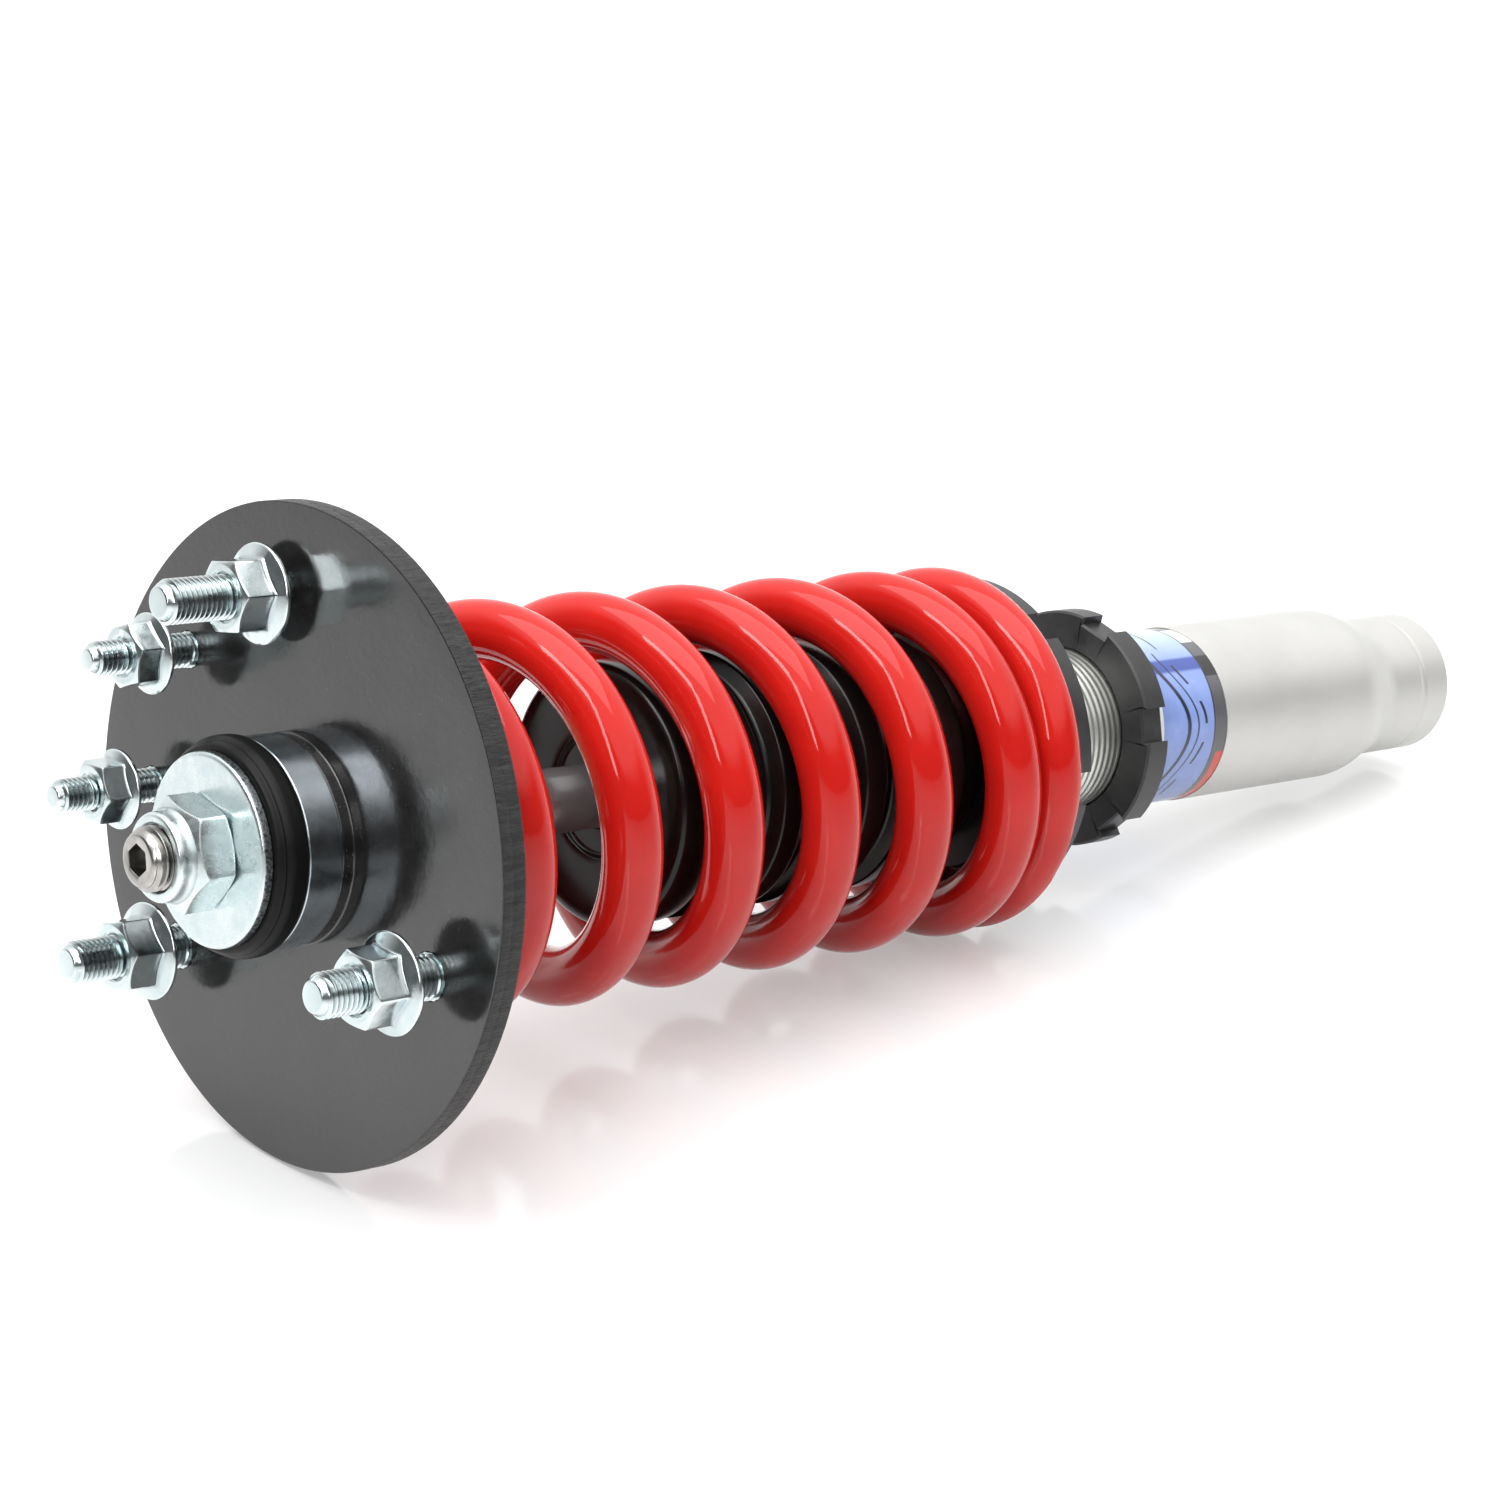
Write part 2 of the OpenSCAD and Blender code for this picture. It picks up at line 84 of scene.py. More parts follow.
LOCK_SLOT_START = 32.5    # direction of the lock ring's first wrench slot, in degrees
ROD_R = 7.5               # radius of the piston rod
UP = Vector((0.2888, -0.9481, 0.1328)).normalized()   # away from the floor that the coilover lies on
FLOOR = -0.07216          # the floor's distance from the origin along UP, in metres
FLOOR_GLOW = 0.33         # the floor's own light, which keeps its shadows pale
SKY_LEVEL = 1.3           # the sky's brightness
SKY_START, SKY_FULL = 34, 54              # heights, in degrees, where the sky starts and where it is full
RIGHT_SHIFT = 0.3         # how much lower the sky reaches on the picture's right, as a sine
WALL_LEVEL, ROOM_LEVEL = 1.1, 0.14        # brightness of the low band behind the coilover, and in front
SEEN_LEVEL = 0.95         # brightness of the world where the camera sees it
LIGHT_DISTANCE = 1.2      # from the coilover's middle to each light, in metres
OVERHEAD_POWER, LEFT_POWER, FRONT_POWER = 7.0, 3.4, 2.4   # watts
CAMERA_PLACE = (-0.5375, -0.4127, 0.4727)         # in metres
CAMERA_RIGHT = (-0.60916, -0.28906, -0.73850)     # the direction of the picture's right
CAMERA_FORWARD = (0.59483, 0.44934, -0.66653)     # the direction that the camera looks in
CAMERA_LENS = 92.54       # for a 36 mm sensor
# Turn of each nut's hexagon, in degrees, in the order of the nuts round the axis.
NUT_SPINS = {"flange_nuts_large": (28.6, 33.8, 16), "flange_nuts_small": (40.3, 17.4), "rod_nut": (8.5,)}


# ---------------------------------------------------------------- mesh helpers
def box_mm(node):
    """Lowest and highest corner of a CAD node, in millimetres."""
    low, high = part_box(node)
    return low * 1000, high * 1000


def soften(outline, steps=4):
    """Rounds the corners of a closed outline of (r, z) points. A corner's third value says how far back its
    rounding starts, and a corner without one stays sharp."""
    result = []
    for i, point in enumerate(outline):
        here = np.array(point[:2], float)
        reach = point[2] if len(point) > 2 else 0
        if not reach:
            result.append(here)
            continue
        to_before = np.array(outline[i - 1][:2]) - here
        to_after = np.array(outline[(i + 1) % len(outline)][:2]) - here
        start = here + to_before * min(reach / np.linalg.norm(to_before), 0.49)
        end = here + to_after * min(reach / np.linalg.norm(to_after), 0.49)
        for t in np.linspace(0, 1, steps + 1):
            result.append((1 - t) ** 2 * start + 2 * t * (1 - t) * here + t * t * end)
    return result


def angles(count):
    return np.arange(count) * 2 * math.pi / count


def around(r, z, turn):
    """A ring of points. r and z are numbers, or one value for each angle in turn."""
    r, z = np.broadcast_to(r, turn.shape), np.broadcast_to(z, turn.shape)
    return np.stack([r * np.cos(turn), r * np.sin(turn), z], 1)


class Skin:
    """Collects grids of points, in millimetres, and welds them into one mesh."""

    def __init__(self):
        self.points, self.faces, self.count = [], [], 0

    def grid(self, rows, close_rows=False, close_columns=True):
        rows = np.asarray(rows, float)
        n, m = rows.shape[:2]
        index = np.arange(n * m).reshape(n, m) + self.count
        if close_rows:
            index = np.concatenate([index, index[:1]])
        if close_columns:
            index = np.concatenate([index, index[:, :1]], 1)
        quads = np.stack([index[:-1, :-1], index[:-1, 1:], index[1:, 1:], index[1:, :-1]], -1)
        self.points.append(rows.reshape(-1, 3))
        self.faces += quads.reshape(-1, 4).tolist()
        self.count += n * m
        return self

    def disc(self, row, height=None):
        """Closes a ring with a fan of triangles to a point on its axis."""
        row = np.asarray(row, float)
        centre = row.mean(0)
        if height is not None:
            centre[2] = height
        ring = np.arange(len(row)) + self.count
        apex = self.count + len(row)
        self.points += [row, centre[None]]
        self.faces += [[a, b, apex] for a, b in zip(ring.tolist(), np.roll(ring, -1).tolist())]
        self.count += len(row) + 1
        return self

    def helix(self, profile, pitch, low, high, limit, count):
        """A thread between two heights. profile has (share of the pitch, radius) points, and limit(z) the
        largest radius at a height, which has to be the thread's root or less at both ends."""
        turns = math.ceil((high - low) / pitch) + 1
        steps = np.arange(turns * count + 1)
        rise = low - pitch + pitch * steps / count
        turn = 2 * math.pi * steps / count
        share, radius = np.array(profile).T
        z = rise[:, None] + pitch * share[None]
        r = np.broadcast_to(radius, z.shape)
        z = np.clip(z, low, high)
        r = np.minimum(r, limit(z))
        rows = np.stack([r * np.cos(turn)[:, None], r * np.sin(turn)[:, None], z], -1)
        self.grid(rows, close_columns=False)
        seam = np.stack([rows[:-count, -1], rows[count:, 0]], 1)
        return self.grid(seam, close_columns=False)

    def finish(self, name, sharp=30, weighted=True, place=None):
        mesh = bpy.data.meshes.new(name)
        mesh.from_pydata((np.concatenate(self.points) / 1000).tolist(), [], self.faces)
        bm = bmesh.new()
        bm.from_mesh(mesh)
        bmesh.ops.remove_doubles(bm, verts=bm.verts, dist=2e-6)
        bmesh.ops.dissolve_degenerate(bm, dist=1e-6, edges=bm.edges)
        bmesh.ops.recalc_face_normals(bm, faces=bm.faces)
        for face in bm.faces:
            face.smooth = True
        for edge in bm.edges:
            edge.smooth = edge.calc_face_angle(0) < math.radians(sharp)
        bm.to_mesh(mesh)
        bm.free()
        if place is not None:
            mesh.transform(place)
        made = bpy.data.objects.new(name, mesh)
        scene.collection.objects.link(made)
        if weighted:
            made.modifiers.new("weights", "WEIGHTED_NORMAL").keep_sharp = True
        return made


def turned(outline, count=192, steps=4):
    """A ring-shaped solid from its closed outline."""
    turn = angles(count)
    return Skin().grid([around(r, z, turn) for r, z in soften(outline, steps)], close_rows=True)


def join(objects, name):
    """Makes one object of several."""
    bm = bmesh.new()
    for part in objects:
        bm.from_mesh(part.data)
    bm.to_mesh(objects[0].data)
    bm.free()
    for part in objects[1:]:
        bpy.data.objects.remove(part)
    objects[0].name = objects[0].data.name = name
    return objects[0]


def solids(node):
    """Box of each separate solid of a CAD node, in millimetres, in order of angle about the axis."""
    bm = bmesh.new()
    bm.from_mesh(frame["nodes"][node].data)
    bmesh.ops.remove_doubles(bm, verts=bm.verts, dist=1e-6)
    left, boxes = set(bm.verts), []
    while left:
        stack = [left.pop()]
        group = []
        while stack:
            vert = stack.pop()
            group.append(vert.co * 1000)
            near = {edge.other_vert(vert) for edge in vert.link_edges} & left
            left -= near
            stack += near
        group = np.array(group)
        boxes.append((group.min(0), group.max(0)))
    bm.free()
    before_first = -2     # radians, a direction with no solid in it

    def bearing(box):
        x, y, _ = box[0] + box[1]
        return (math.atan2(y, x) - before_first) % math.tau

    return sorted(boxes, key=bearing)


def upright(x, y, spin=0):
    """A place on the row frame's X, Y plane, in millimetres, with a turn about +Z."""
    return Matrix.Translation((x / 1000, y / 1000, 0)) @ Matrix.Rotation(spin, 4, "Z")


# ---------------------------------------------------------------- material helpers
class Shader:
    """A node material. make() adds a node, with its inputs given as numbers or as other nodes' outputs."""

    def __init__(self, name):
        self.material = bpy.data.materials.new(name)
        self.material.use_nodes = True
        self.tree = self.material.node_tree
        self.bsdf = self.tree.nodes["Principled BSDF"]
        self.place = self.make("TexCoord").outputs["Object"]

    def make(self, kind, settings=None, **inputs):
        node = self.tree.nodes.new("ShaderNode" + kind)
        for key, value in (settings or {}).items():
            setattr(node, key, value)
        for key, value in inputs.items():
            self.put(node.inputs[int(key[1:]) if key[0] == "i" and key[1:].isdigit() else key], value)
        return node

    def put(self, socket, value):
        if isinstance(value, bpy.types.NodeSocket):
            self.tree.links.new(value, socket)
        else:
            socket.default_value = (*value, 1) if isinstance(value, tuple) and len(value) == 3 and \
                socket.type == "RGBA" else value

    def surface(self, **inputs):
        for key, value in inputs.items():
            self.put(self.bsdf.inputs[key.replace("_", " ")], value)
        return self.material

    def noise(self, scale, detail=3.0, rough=0.55, place=None):
        made = self.make("TexNoise", Vector=place or self.place, Scale=scale, Detail=detail,
                         Roughness=rough)
        return made.outputs["Fac"]

    def cloudy(self, scale, detail, first, last):
        """Soft noise that wanders from first to last."""
        return self.ramp(self.noise(scale, detail), 0.3, 0.7, first, last)

    def stretched(self, x, y, z):
        """Object coordinates scaled along each axis."""
        return self.make("Mapping", Vector=self.place, Scale=(x, y, z)).outputs["Vector"]

    def ramp(self, value, low, high, first, last):
        """Maps value from low..high to first..last, which are both numbers or both colours."""
        if isinstance(first, tuple):
            return self.mix(self.ramp(value, low, high, 0.0, 1.0), first, last)
        return self.make("MapRange", i0=value, i1=low, i2=high, i3=first, i4=last).outputs[0]

    def mix(self, share, first, last):
        return self.make("Mix", {"data_type": "RGBA"}, i0=share, i6=first, i7=last).outputs[2]

    def math(self, operation, a, b=0.0):
        return self.make("Math", {"operation": operation}, i0=a, i1=b).outputs[0]

    def bump(self, height, distance, strength=1.0, normal=None):
        made = self.make("Bump", Strength=strength, Distance=distance, Height=height)
        if normal is not None:
            self.put(made.inputs["Normal"], normal)
        return made.outputs["Normal"]


def zinc_plate(name, rough_low, rough_high, light=1.0):
    """Bright zinc: mottled, with painted shade that darkens its hollows and thread roots, and a painted
    highlight that brightens its sharp edges and thread crests.
    """
    s = Shader(name)
    speck = s.noise(2400, 3, 0.7)
    low, high = (tuple(light * c for c in colour) for colour in ((0.58, 0.665, 0.68), (0.69, 0.755, 0.755)))
    colour = s.cloudy(190, 5, low, high)
    grey = s.ramp(speck, 0.60, 0.76, 0.0, 0.3)
    colour = s.mix(grey, colour, (0.40, 0.46, 0.48))
    point = s.make("NewGeometry").outputs["Pointiness"]
    # Painted shade: concave places (low pointiness) are darkened towards a dark grey.
    colour = s.mix(s.ramp(point, 0.43, 0.50, 1.0, 0.0), colour, (0.18, 0.21, 0.23))
    # Painted highlight: convex edges and thread crests (high pointiness) are brightened towards near white.
    colour = s.mix(s.ramp(point, 0.52, 0.60, 0.0, 0.8), colour, (0.94, 0.96, 0.96))
    return s.surface(Base_Color=colour, Metallic=1.0,
                     Roughness=s.ramp(s.noise(420, 4), 0.35, 0.68, rough_low, rough_high),
                     Normal=s.bump(s.noise(300, 2), 0.00008, 0.3, s.bump(speck, 0.00002, 0.4)))


def housing_plate():
    """Darker, smoother plating for the bush's housing."""
    s = Shader("housing_plate")
    return s.surface(Base_Color=s.cloudy(70, 4, (0.46, 0.52, 0.56), (0.58, 0.63, 0.66)), Metallic=1.0,
                     Roughness=s.ramp(s.noise(260, 4), 0.35, 0.7, 0.17, 0.27),
                     Normal=s.bump(s.noise(1800, 3), 0.00001, 0.3))


def washer_side_painted_dark():
    """The washer's sheared side and underside: dull and speckled, and darkened as a painted reflection of the
    dark plate.
    """
    s = Shader("washer_side_painted_reflection")
    grain = s.noise(1500, 4, 0.75)
    # Painted reflection: the grain runs from near black to mid grey, standing in for the dark plate mirrored
    # in the side.
    return s.surface(Base_Color=s.ramp(grain, 0.40, 0.62, (0.05, 0.055, 0.06), (0.42, 0.45, 0.46)),
                     Metallic=1.0, Roughness=s.ramp(grain, 0.3, 0.7, 0.45, 0.25),
                     Normal=s.bump(grain, 0.0001, 0.6))


def plate_coat():
    s = Shader("black_coated_steel")
    peel = s.noise(480, 2, 0.5)
    dust = s.noise(2200, 2, 0.5)
    colour = s.cloudy(60, 4, (0.008, 0.008, 0.008), (0.017, 0.016, 0.016))
    fleck = s.ramp(dust, 0.675, 0.72, 0.0, 0.4)
    return s.surface(Base_Color=s.mix(fleck, colour, (0.20, 0.20, 0.20)), IOR=1.75,
                     Roughness=s.cloudy(150, 4, 0.12, 0.19),
                     Normal=s.bump(peel, 0.00008, 0.35))


def rim_coat():
    s = Shader("black_coated_edge")
    cut = s.noise(1, 4, 0.7, s.stretched(900, 900, 160))
    fine = s.noise(3200, 3, 0.7)
    return s.surface(Base_Color=s.ramp(cut, 0.3, 0.7, (0.006, 0.006, 0.006), (0.030, 0.030, 0.029)),
                     IOR=1.4, Roughness=s.ramp(fine, 0.3, 0.7, 0.30, 0.5),
                     Normal=s.bump(fine, 0.00006, 0.6, s.bump(cut, 0.0006, 0.9)))


def red_powder_coat():
    s = Shader("red_powder_coat")
    colour = s.cloudy(70, 3, (0.54, 0.011, 0.008), (0.61, 0.015, 0.010))
    return s.surface(Base_Color=colour, IOR=1.44,
                     Roughness=s.cloudy(300, 3, 0.05, 0.09),
                     Normal=s.bump(s.noise(420, 2, 0.5), 0.00008, 0.2))


def rubber(name, light, rough_low, rough_high, ior):
    s = Shader(name)
    bloom = s.noise(90, 5, 0.6)
    fine = s.noise(2400, 3, 0.6)
    return s.surface(Base_Color=s.ramp(bloom, 0.3, 0.7, (light * 0.6,) * 3, (light * 1.3,) * 3), IOR=ior,
                     Roughness=s.ramp(bloom, 0.3, 0.7, rough_low, rough_high),
                     Normal=s.bump(fine, 0.00003, 0.3))


def turned_metal(name, dark, bright, rough_low, rough_high, lines=2600, tint=(1, 1, 1), metallic=1.0):
    """Bare or ground metal with fine turning lines round the axis."""
    s = Shader(name)
    feed = s.noise(1, 3, 0.7, s.stretched(12, 12, lines))
    stain = s.noise(160, 4)
    low, high = (tuple(level * t for t in tint) for level in (dark, bright))
    return s.surface(Base_Color=s.ramp(stain, 0.3, 0.7, low, high), Metallic=metallic,
                     Roughness=s.ramp(feed, 0.3, 0.7, rough_low, rough_high),
                     Normal=s.bump(feed, 0.00002, 0.35))


def ring_finish():
    s = Shader("black_ring_finish")
    fine = s.noise(3000, 3, 0.6)
    wear = s.noise(220, 4)
    return s.surface(Base_Color=s.ramp(wear, 0.3, 0.7, (0.012, 0.012, 0.013), (0.024, 0.024, 0.026)),
                     IOR=1.55, Roughness=s.ramp(wear, 0.3, 0.7, 0.30, 0.42),
                     Normal=s.bump(fine, 0.00003, 0.4))


def silver_coat():
    s = Shader("silver_coat")
    flake = s.noise(4200, 2, 0.6)
    return s.surface(Base_Color=s.cloudy(40, 4, (0.57, 0.565, 0.545), (0.63, 0.625, 0.60)), Metallic=0.55,
                     Roughness=s.ramp(flake, 0.3, 0.7, 0.34, 0.46), Coat_Weight=0.15, Coat_Roughness=0.25,
                     Normal=s.bump(flake, 0.00002, 0.4))


def sintered(name, low, high, metallic):
    s = Shader(name)
    pores = s.noise(2600, 4, 0.75)
    return s.surface(Base_Color=s.cloudy(300, 4, low, high), Metallic=metallic,
                     Roughness=s.ramp(pores, 0.3, 0.7, 0.38, 0.62), Normal=s.bump(pores, 0.00006, 0.5))


def bump_foam():
    s = Shader("bump_foam")
    cells = s.make("TexVoronoi", Vector=s.place, Scale=1500).outputs["Distance"]
    return s.surface(Base_Color=s.cloudy(120, 4, (0.62, 0.52, 0.30), (0.78, 0.69, 0.44)),
                     Roughness=s.ramp(cells, 0.1, 0.7, 0.62, 0.85), Normal=s.bump(cells, 0.0002, 0.5))


def printed_label(low, high):
    """Gloss film: a blue field with plain line art and a painted highlight that pales it towards the side
    facing up, a pale front edge, and a dark rear border with black and white patches and a red strip. low and
    high are the film's two ends, in metres."""
    s = Shader("printed_label")
    part = s.make("SeparateXYZ", Vector=s.place)
    mirrored = [s.math("MULTIPLY", part.outputs[axis], -1.0) for axis in "YX"]
    turn = s.math("ARCTAN2", *mirrored)
    up = s.ramp(part.outputs["Z"], low, high, 0.0, 1.0)

    def band(value, start, end, soft=0.004):
        rise = s.ramp(value, start - soft, start + soft, 0.0, 1.0)
        fall = s.ramp(value, end - soft, end + soft, 1.0, 0.0)
        return s.math("MULTIPLY", rise, fall)

    def line(value, at, width, soft=0.006):
        away = s.math("ABSOLUTE", s.math("SUBTRACT", value, at))
        return s.ramp(away, width - soft, width + soft, 1.0, 0.0)

    field = s.cloudy(260, 3, (0.22, 0.31, 0.66), (0.26, 0.36, 0.74))
    # Painted light: the field turns paler towards the bearing that faces up, away from the floor.
    field = s.mix(s.ramp(turn, 1.25, 1.85, 0.0, 1.0), field, (0.50, 0.62, 0.88))
    field = s.mix(band(turn, 1.12, 1.30, 0.02), field, (0.04, 0.08, 0.36))
    wave = s.math("MULTIPLY", s.math("SINE", s.math("MULTIPLY", turn, 3.4)), 0.13)
    swept = s.math("ADD", up, wave)
    art = s.math("MAXIMUM", line(swept, 0.62, 0.024), line(swept, 0.50, 0.010))
    dashes = s.math("LESS_THAN", s.math("FRACT", s.math("MULTIPLY", turn, 2.1)), 0.55)
    art = s.math("MAXIMUM", art, s.math("MULTIPLY", dashes, line(swept, 0.40, 0.016)))
    art = s.math("MULTIPLY", art, band(turn, -0.7, 1.42, 0.02))
    thin = s.math("MAXIMUM", line(up, 0.72, 0.010), line(up, 0.52, 0.010))
    art = s.math("MAXIMUM", art, s.math("MULTIPLY", thin, s.ramp(turn, 1.46, 1.50, 0.0, 1.0)))
    colour = s.mix(art, field, (0.012, 0.018, 0.05))
    rear = s.mix(band(turn, 1.02, 1.30, 0.01), (0.10, 0.10, 0.11), (0.006, 0.006, 0.006))
    rear = s.mix(band(turn, 1.54, 1.90, 0.01), rear, (0.74, 0.74, 0.72))
    red_strip = s.math("MULTIPLY", band(turn, -0.8, 0.11, 0.01), s.math("LESS_THAN", up, 0.10))
    rear = s.mix(red_strip, rear, (0.70, 0.05, 0.03))
    colour = s.mix(band(up, -1.0, 0.16), colour, rear)
    colour = s.mix(line(up, 0.16, 0.008), colour, (0.02, 0.02, 0.03))
    colour = s.mix(band(up, 0.825, 2.0), colour, (0.80, 0.80, 0.78))
    return s.surface(Base_Color=colour, Roughness=s.cloudy(500, 3, 0.16, 0.26),
                     Coat_Weight=0.3, Coat_Roughness=0.08, Normal=s.bump(s.noise(300, 2), 0.00006, 0.3))


# ---------------------------------------------------------------- pieces
def piece(made, node, material, extra=()):
    """Puts a finished mesh in place of a CAD node, on that node's body and in its material slot."""
    made.data.materials.clear()
    for finish in (material, *extra):
        made.data.materials.append(finish)
    body = next(name for name, nodes in frame["record"]["behaviour"]["bodies"].items() if node in nodes)
    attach(made, body)
    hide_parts(node)
    return made


def refinish(made, test):
    """Gives a piece's second finish to each face that passes a test."""
    for face in made.data.polygons:
        face.material_index = int(test(face))


def make_plate(finish, edge_finish):
    """The plate: rounded edges, a ragged laser-cut rim, the hub's collar and the stud holes."""
    low, high = box_mm("top_plate")
    plate_r = high.x
    collar_r = box_mm("bush_housing")[1].x - 0.35
    bottom, collar_top = low.z, high.z
    bevel, rim_width = 0.4, 6
    turn = angles(1440)
    outline = soften([(PLATE_HOLE_R, bottom, 0.3), (PLATE_HOLE_R, collar_top), (collar_r, collar_top, 0.5),
                      (collar_r, 0, 0.5), (plate_r - rim_width, 0)], 3)
    rows = [around(r, z, turn) for r, z in outline]
    depth = [0.0, 0.12, bevel, 1.0, 1.6, 2.1, 2.5, 2.9, 3.3, 3.8, 4.4, 5.0,
             -bottom - bevel, -bottom - 0.12, -bottom]
    inward = {0.0: bevel, 0.12: 0.12, -bottom - 0.12: 0.12, -bottom: bevel}
    for d in depth:
        away = np.array([torn(a, d, plate_r, -bottom) for a in turn])
        rows.append(around(plate_r - inward.get(d, 0) - away, -d, turn))
    rows.append(around(plate_r - rim_width, bottom, turn))
    made = Skin().grid(rows, close_rows=True).finish("top_plate_coated", sharp=40)
    cutters = []
    for node in ("mount_studs_large", "mount_studs_small"):
        for stud_low, stud_high in solids(node):
            centre, r = (stud_low + stud_high) / 2, (stud_high[0] - stud_low[0]) / 2 - 0.9
            hole = Skin()
            ring = [around(r, z, angles(48)) for z in (bottom - 1, 1)]
            hole.grid(ring).disc(ring[0]).disc(ring[1])
            cutters.append(hole.finish("cutter", place=upright(centre[0], centre[1]), weighted=False))
    cutter = join(cutters, "cutter")
    cut = made.modifiers.new("holes", "BOOLEAN")
    cut.operation, cut.object, cut.solver = "DIFFERENCE", cutter, "EXACT"
    bpy.context.view_layer.objects.active = made
    made.modifiers.move(1, 0)
    bpy.ops.object.modifier_apply(modifier="holes")
    bpy.data.objects.remove(cutter)
    bm = bmesh.new()
    bm.from_mesh(made.data)
    for edge in bm.edges:
        edge.smooth = edge.calc_face_angle(0) < math.radians(40)
    bm.to_mesh(made.data)
    bm.free()
    piece(made, "top_plate", finish, [edge_finish])
    rim_from = (plate_r - 0.3) / 1000
    refinish(made, lambda face: math.hypot(*face.center.xy) > rim_from and abs(face.normal.z) < 0.6)


def torn(turn, depth, r, thickness):
    """How far the cut rim lies inside the plate's radius: fine drag lines and one ragged crease."""
    if depth < 0.2 or depth > thickness - 0.2:
        return 0.02 * (1 + noise.noise(Vector((turn * r / 1.4, depth, 7))))
    drag = abs(noise.noise(Vector((turn * r / 0.55, depth / 2.2, 0))))
    broad = noise.noise(Vector((turn * r / 5, depth / 4, 3)))
    crease = 2.7 + 0.55 * noise.noise(Vector((turn * r / 2.6, 0, 9)))
    groove = math.exp(-((depth - crease) / 0.28) ** 2)
    uneven = abs(noise.noise(Vector((turn * r, 1, 5))))
    return 0.10 * drag + 0.04 * (1 + broad) + groove * (0.10 + 0.16 * uneven)


def thread_profile(crest_r, pitch):
    """A thread's outline over one pitch: flank, crest, flank, root."""
    depth = THREAD_DEPTH * pitch
    return [(0.0, crest_r - depth), (0.22, crest_r - depth), (0.53, crest_r), (0.69, crest_r)]


def make_stud(name, low, high, r, pitch):
    """Head, knurl, thread up to a plain rounded tip."""
    centre = (low + high) / 2
    root_r = r - THREAD_DEPTH * pitch
    plate_bottom = box_mm("top_plate")[0].z
    top = high[2]
    thread_low, tip_start = 0.15, top - 1.2
    count = 64
    turn = angles(count)
    skin = Skin()
    head_r = (high[0] - low[0]) / 2
    lower = soften([(0.001, low[2]), (head_r, low[2], 0.4), (head_r, plate_bottom), (r + 0.3, plate_bottom),
                    (r + 0.3, 0.0), (root_r, thread_low)], 3)
    knurl = 0.16 * (0.5 + 0.5 * np.sign(np.sin(turn * 16)))
    skin.grid([around(a if z < plate_bottom or a < r else a - knurl, z, turn) for a, z in lower])
    limit_z = [thread_low, thread_low + 0.55 * pitch, tip_start - 0.5 * pitch, tip_start]
    limit_r = [root_r, r + 0.1, r + 0.1, root_r]
    skin.helix(thread_profile(r, pitch), pitch, thread_low, tip_start,
               lambda z: np.interp(z, limit_z, limit_r), count)
    tip = soften([(root_r, tip_start), (root_r - 0.75, top, 0.35), (0.001, top)], 5)
    skin.grid([around(a, z, turn) for a, z in tip])
    return skin.finish(name, sharp=35, place=upright(centre[0], centre[1]))


def hex_radius(turn, apothem, corner=0.985):
    """Distance to a hexagon's side, with a corner on the X axis, cut back a little at each corner."""
    within = (turn + math.pi / 6) % (math.pi / 3) - math.pi / 6
    flat = apothem / np.cos(math.pi / 6 - np.abs(within))
    return np.minimum(flat, corner * apothem / math.cos(math.pi / 6))


def hex_angles():
    """Angles for a nut: close together at the six corners, and even along the flats."""
    side = np.array([-0.022, -0.011, 0.011, 0.022, 0.1, 0.22, 0.35, 0.48, 0.61, 0.74, 0.87, 0.97])
    return np.concatenate([side + k * math.pi / 3 for k in range(6)])


def make_flange_nut(name, low, high, across, bore_r, spin):
    """A flange nut: domed flange with a rolled rim, chamfered hexagon, countersunk bore."""
    centre, flange_r = (low + high) / 2, (high[0] - low[0]) / 2
    base, top = low[2], high[2]
    apothem = across / 2
    turn = hex_angles()
    side = hex_radius(turn, apothem)
    rim, slope = 1.15, 0.36
    chamfer_r = apothem * 0.965
    cone = np.maximum((side - chamfer_r) * math.tan(math.radians(30)), 0)
    foot = base + rim + (flange_r - side) * slope
    rows = [around(bore_r + 0.5, base, turn), around(flange_r - 0.35, base, turn),
            around(flange_r - 0.08, base + 0.15, turn), around(flange_r, base + 0.4, turn),
            around(flange_r, base + 0.85, turn), around(flange_r - 0.12, base + 1.06, turn),
            around(flange_r - 0.4, base + rim + 0.1, turn),
            around(side + 0.75, foot - 0.22, turn), around(side + 0.3, foot, turn),
            around(side + 0.07, foot + 0.3, turn), around(side, foot + 0.6, turn),
            around(side, foot + 1.1, turn), around(side, top - cone - 0.75, turn),
            around(side, top - cone - 0.25, turn), around(side - 0.06, top - cone - 0.06, turn),
            around(side - 0.25, top - np.maximum(cone - 0.1, 0), turn),
            around(np.minimum(side - 0.3, chamfer_r - 0.05), top - 0.02, turn),
            around(chamfer_r - 0.5, top, turn),
            around(bore_r + 0.9, top, turn), around(bore_r + 0.75, top - 0.08, turn),
            around(bore_r, top - 0.85, turn), around(bore_r, base + 0.5, turn)]
    place = upright(centre[0], centre[1], spin)
    return Skin().grid(rows, close_rows=True).finish(name, sharp=28, place=place)


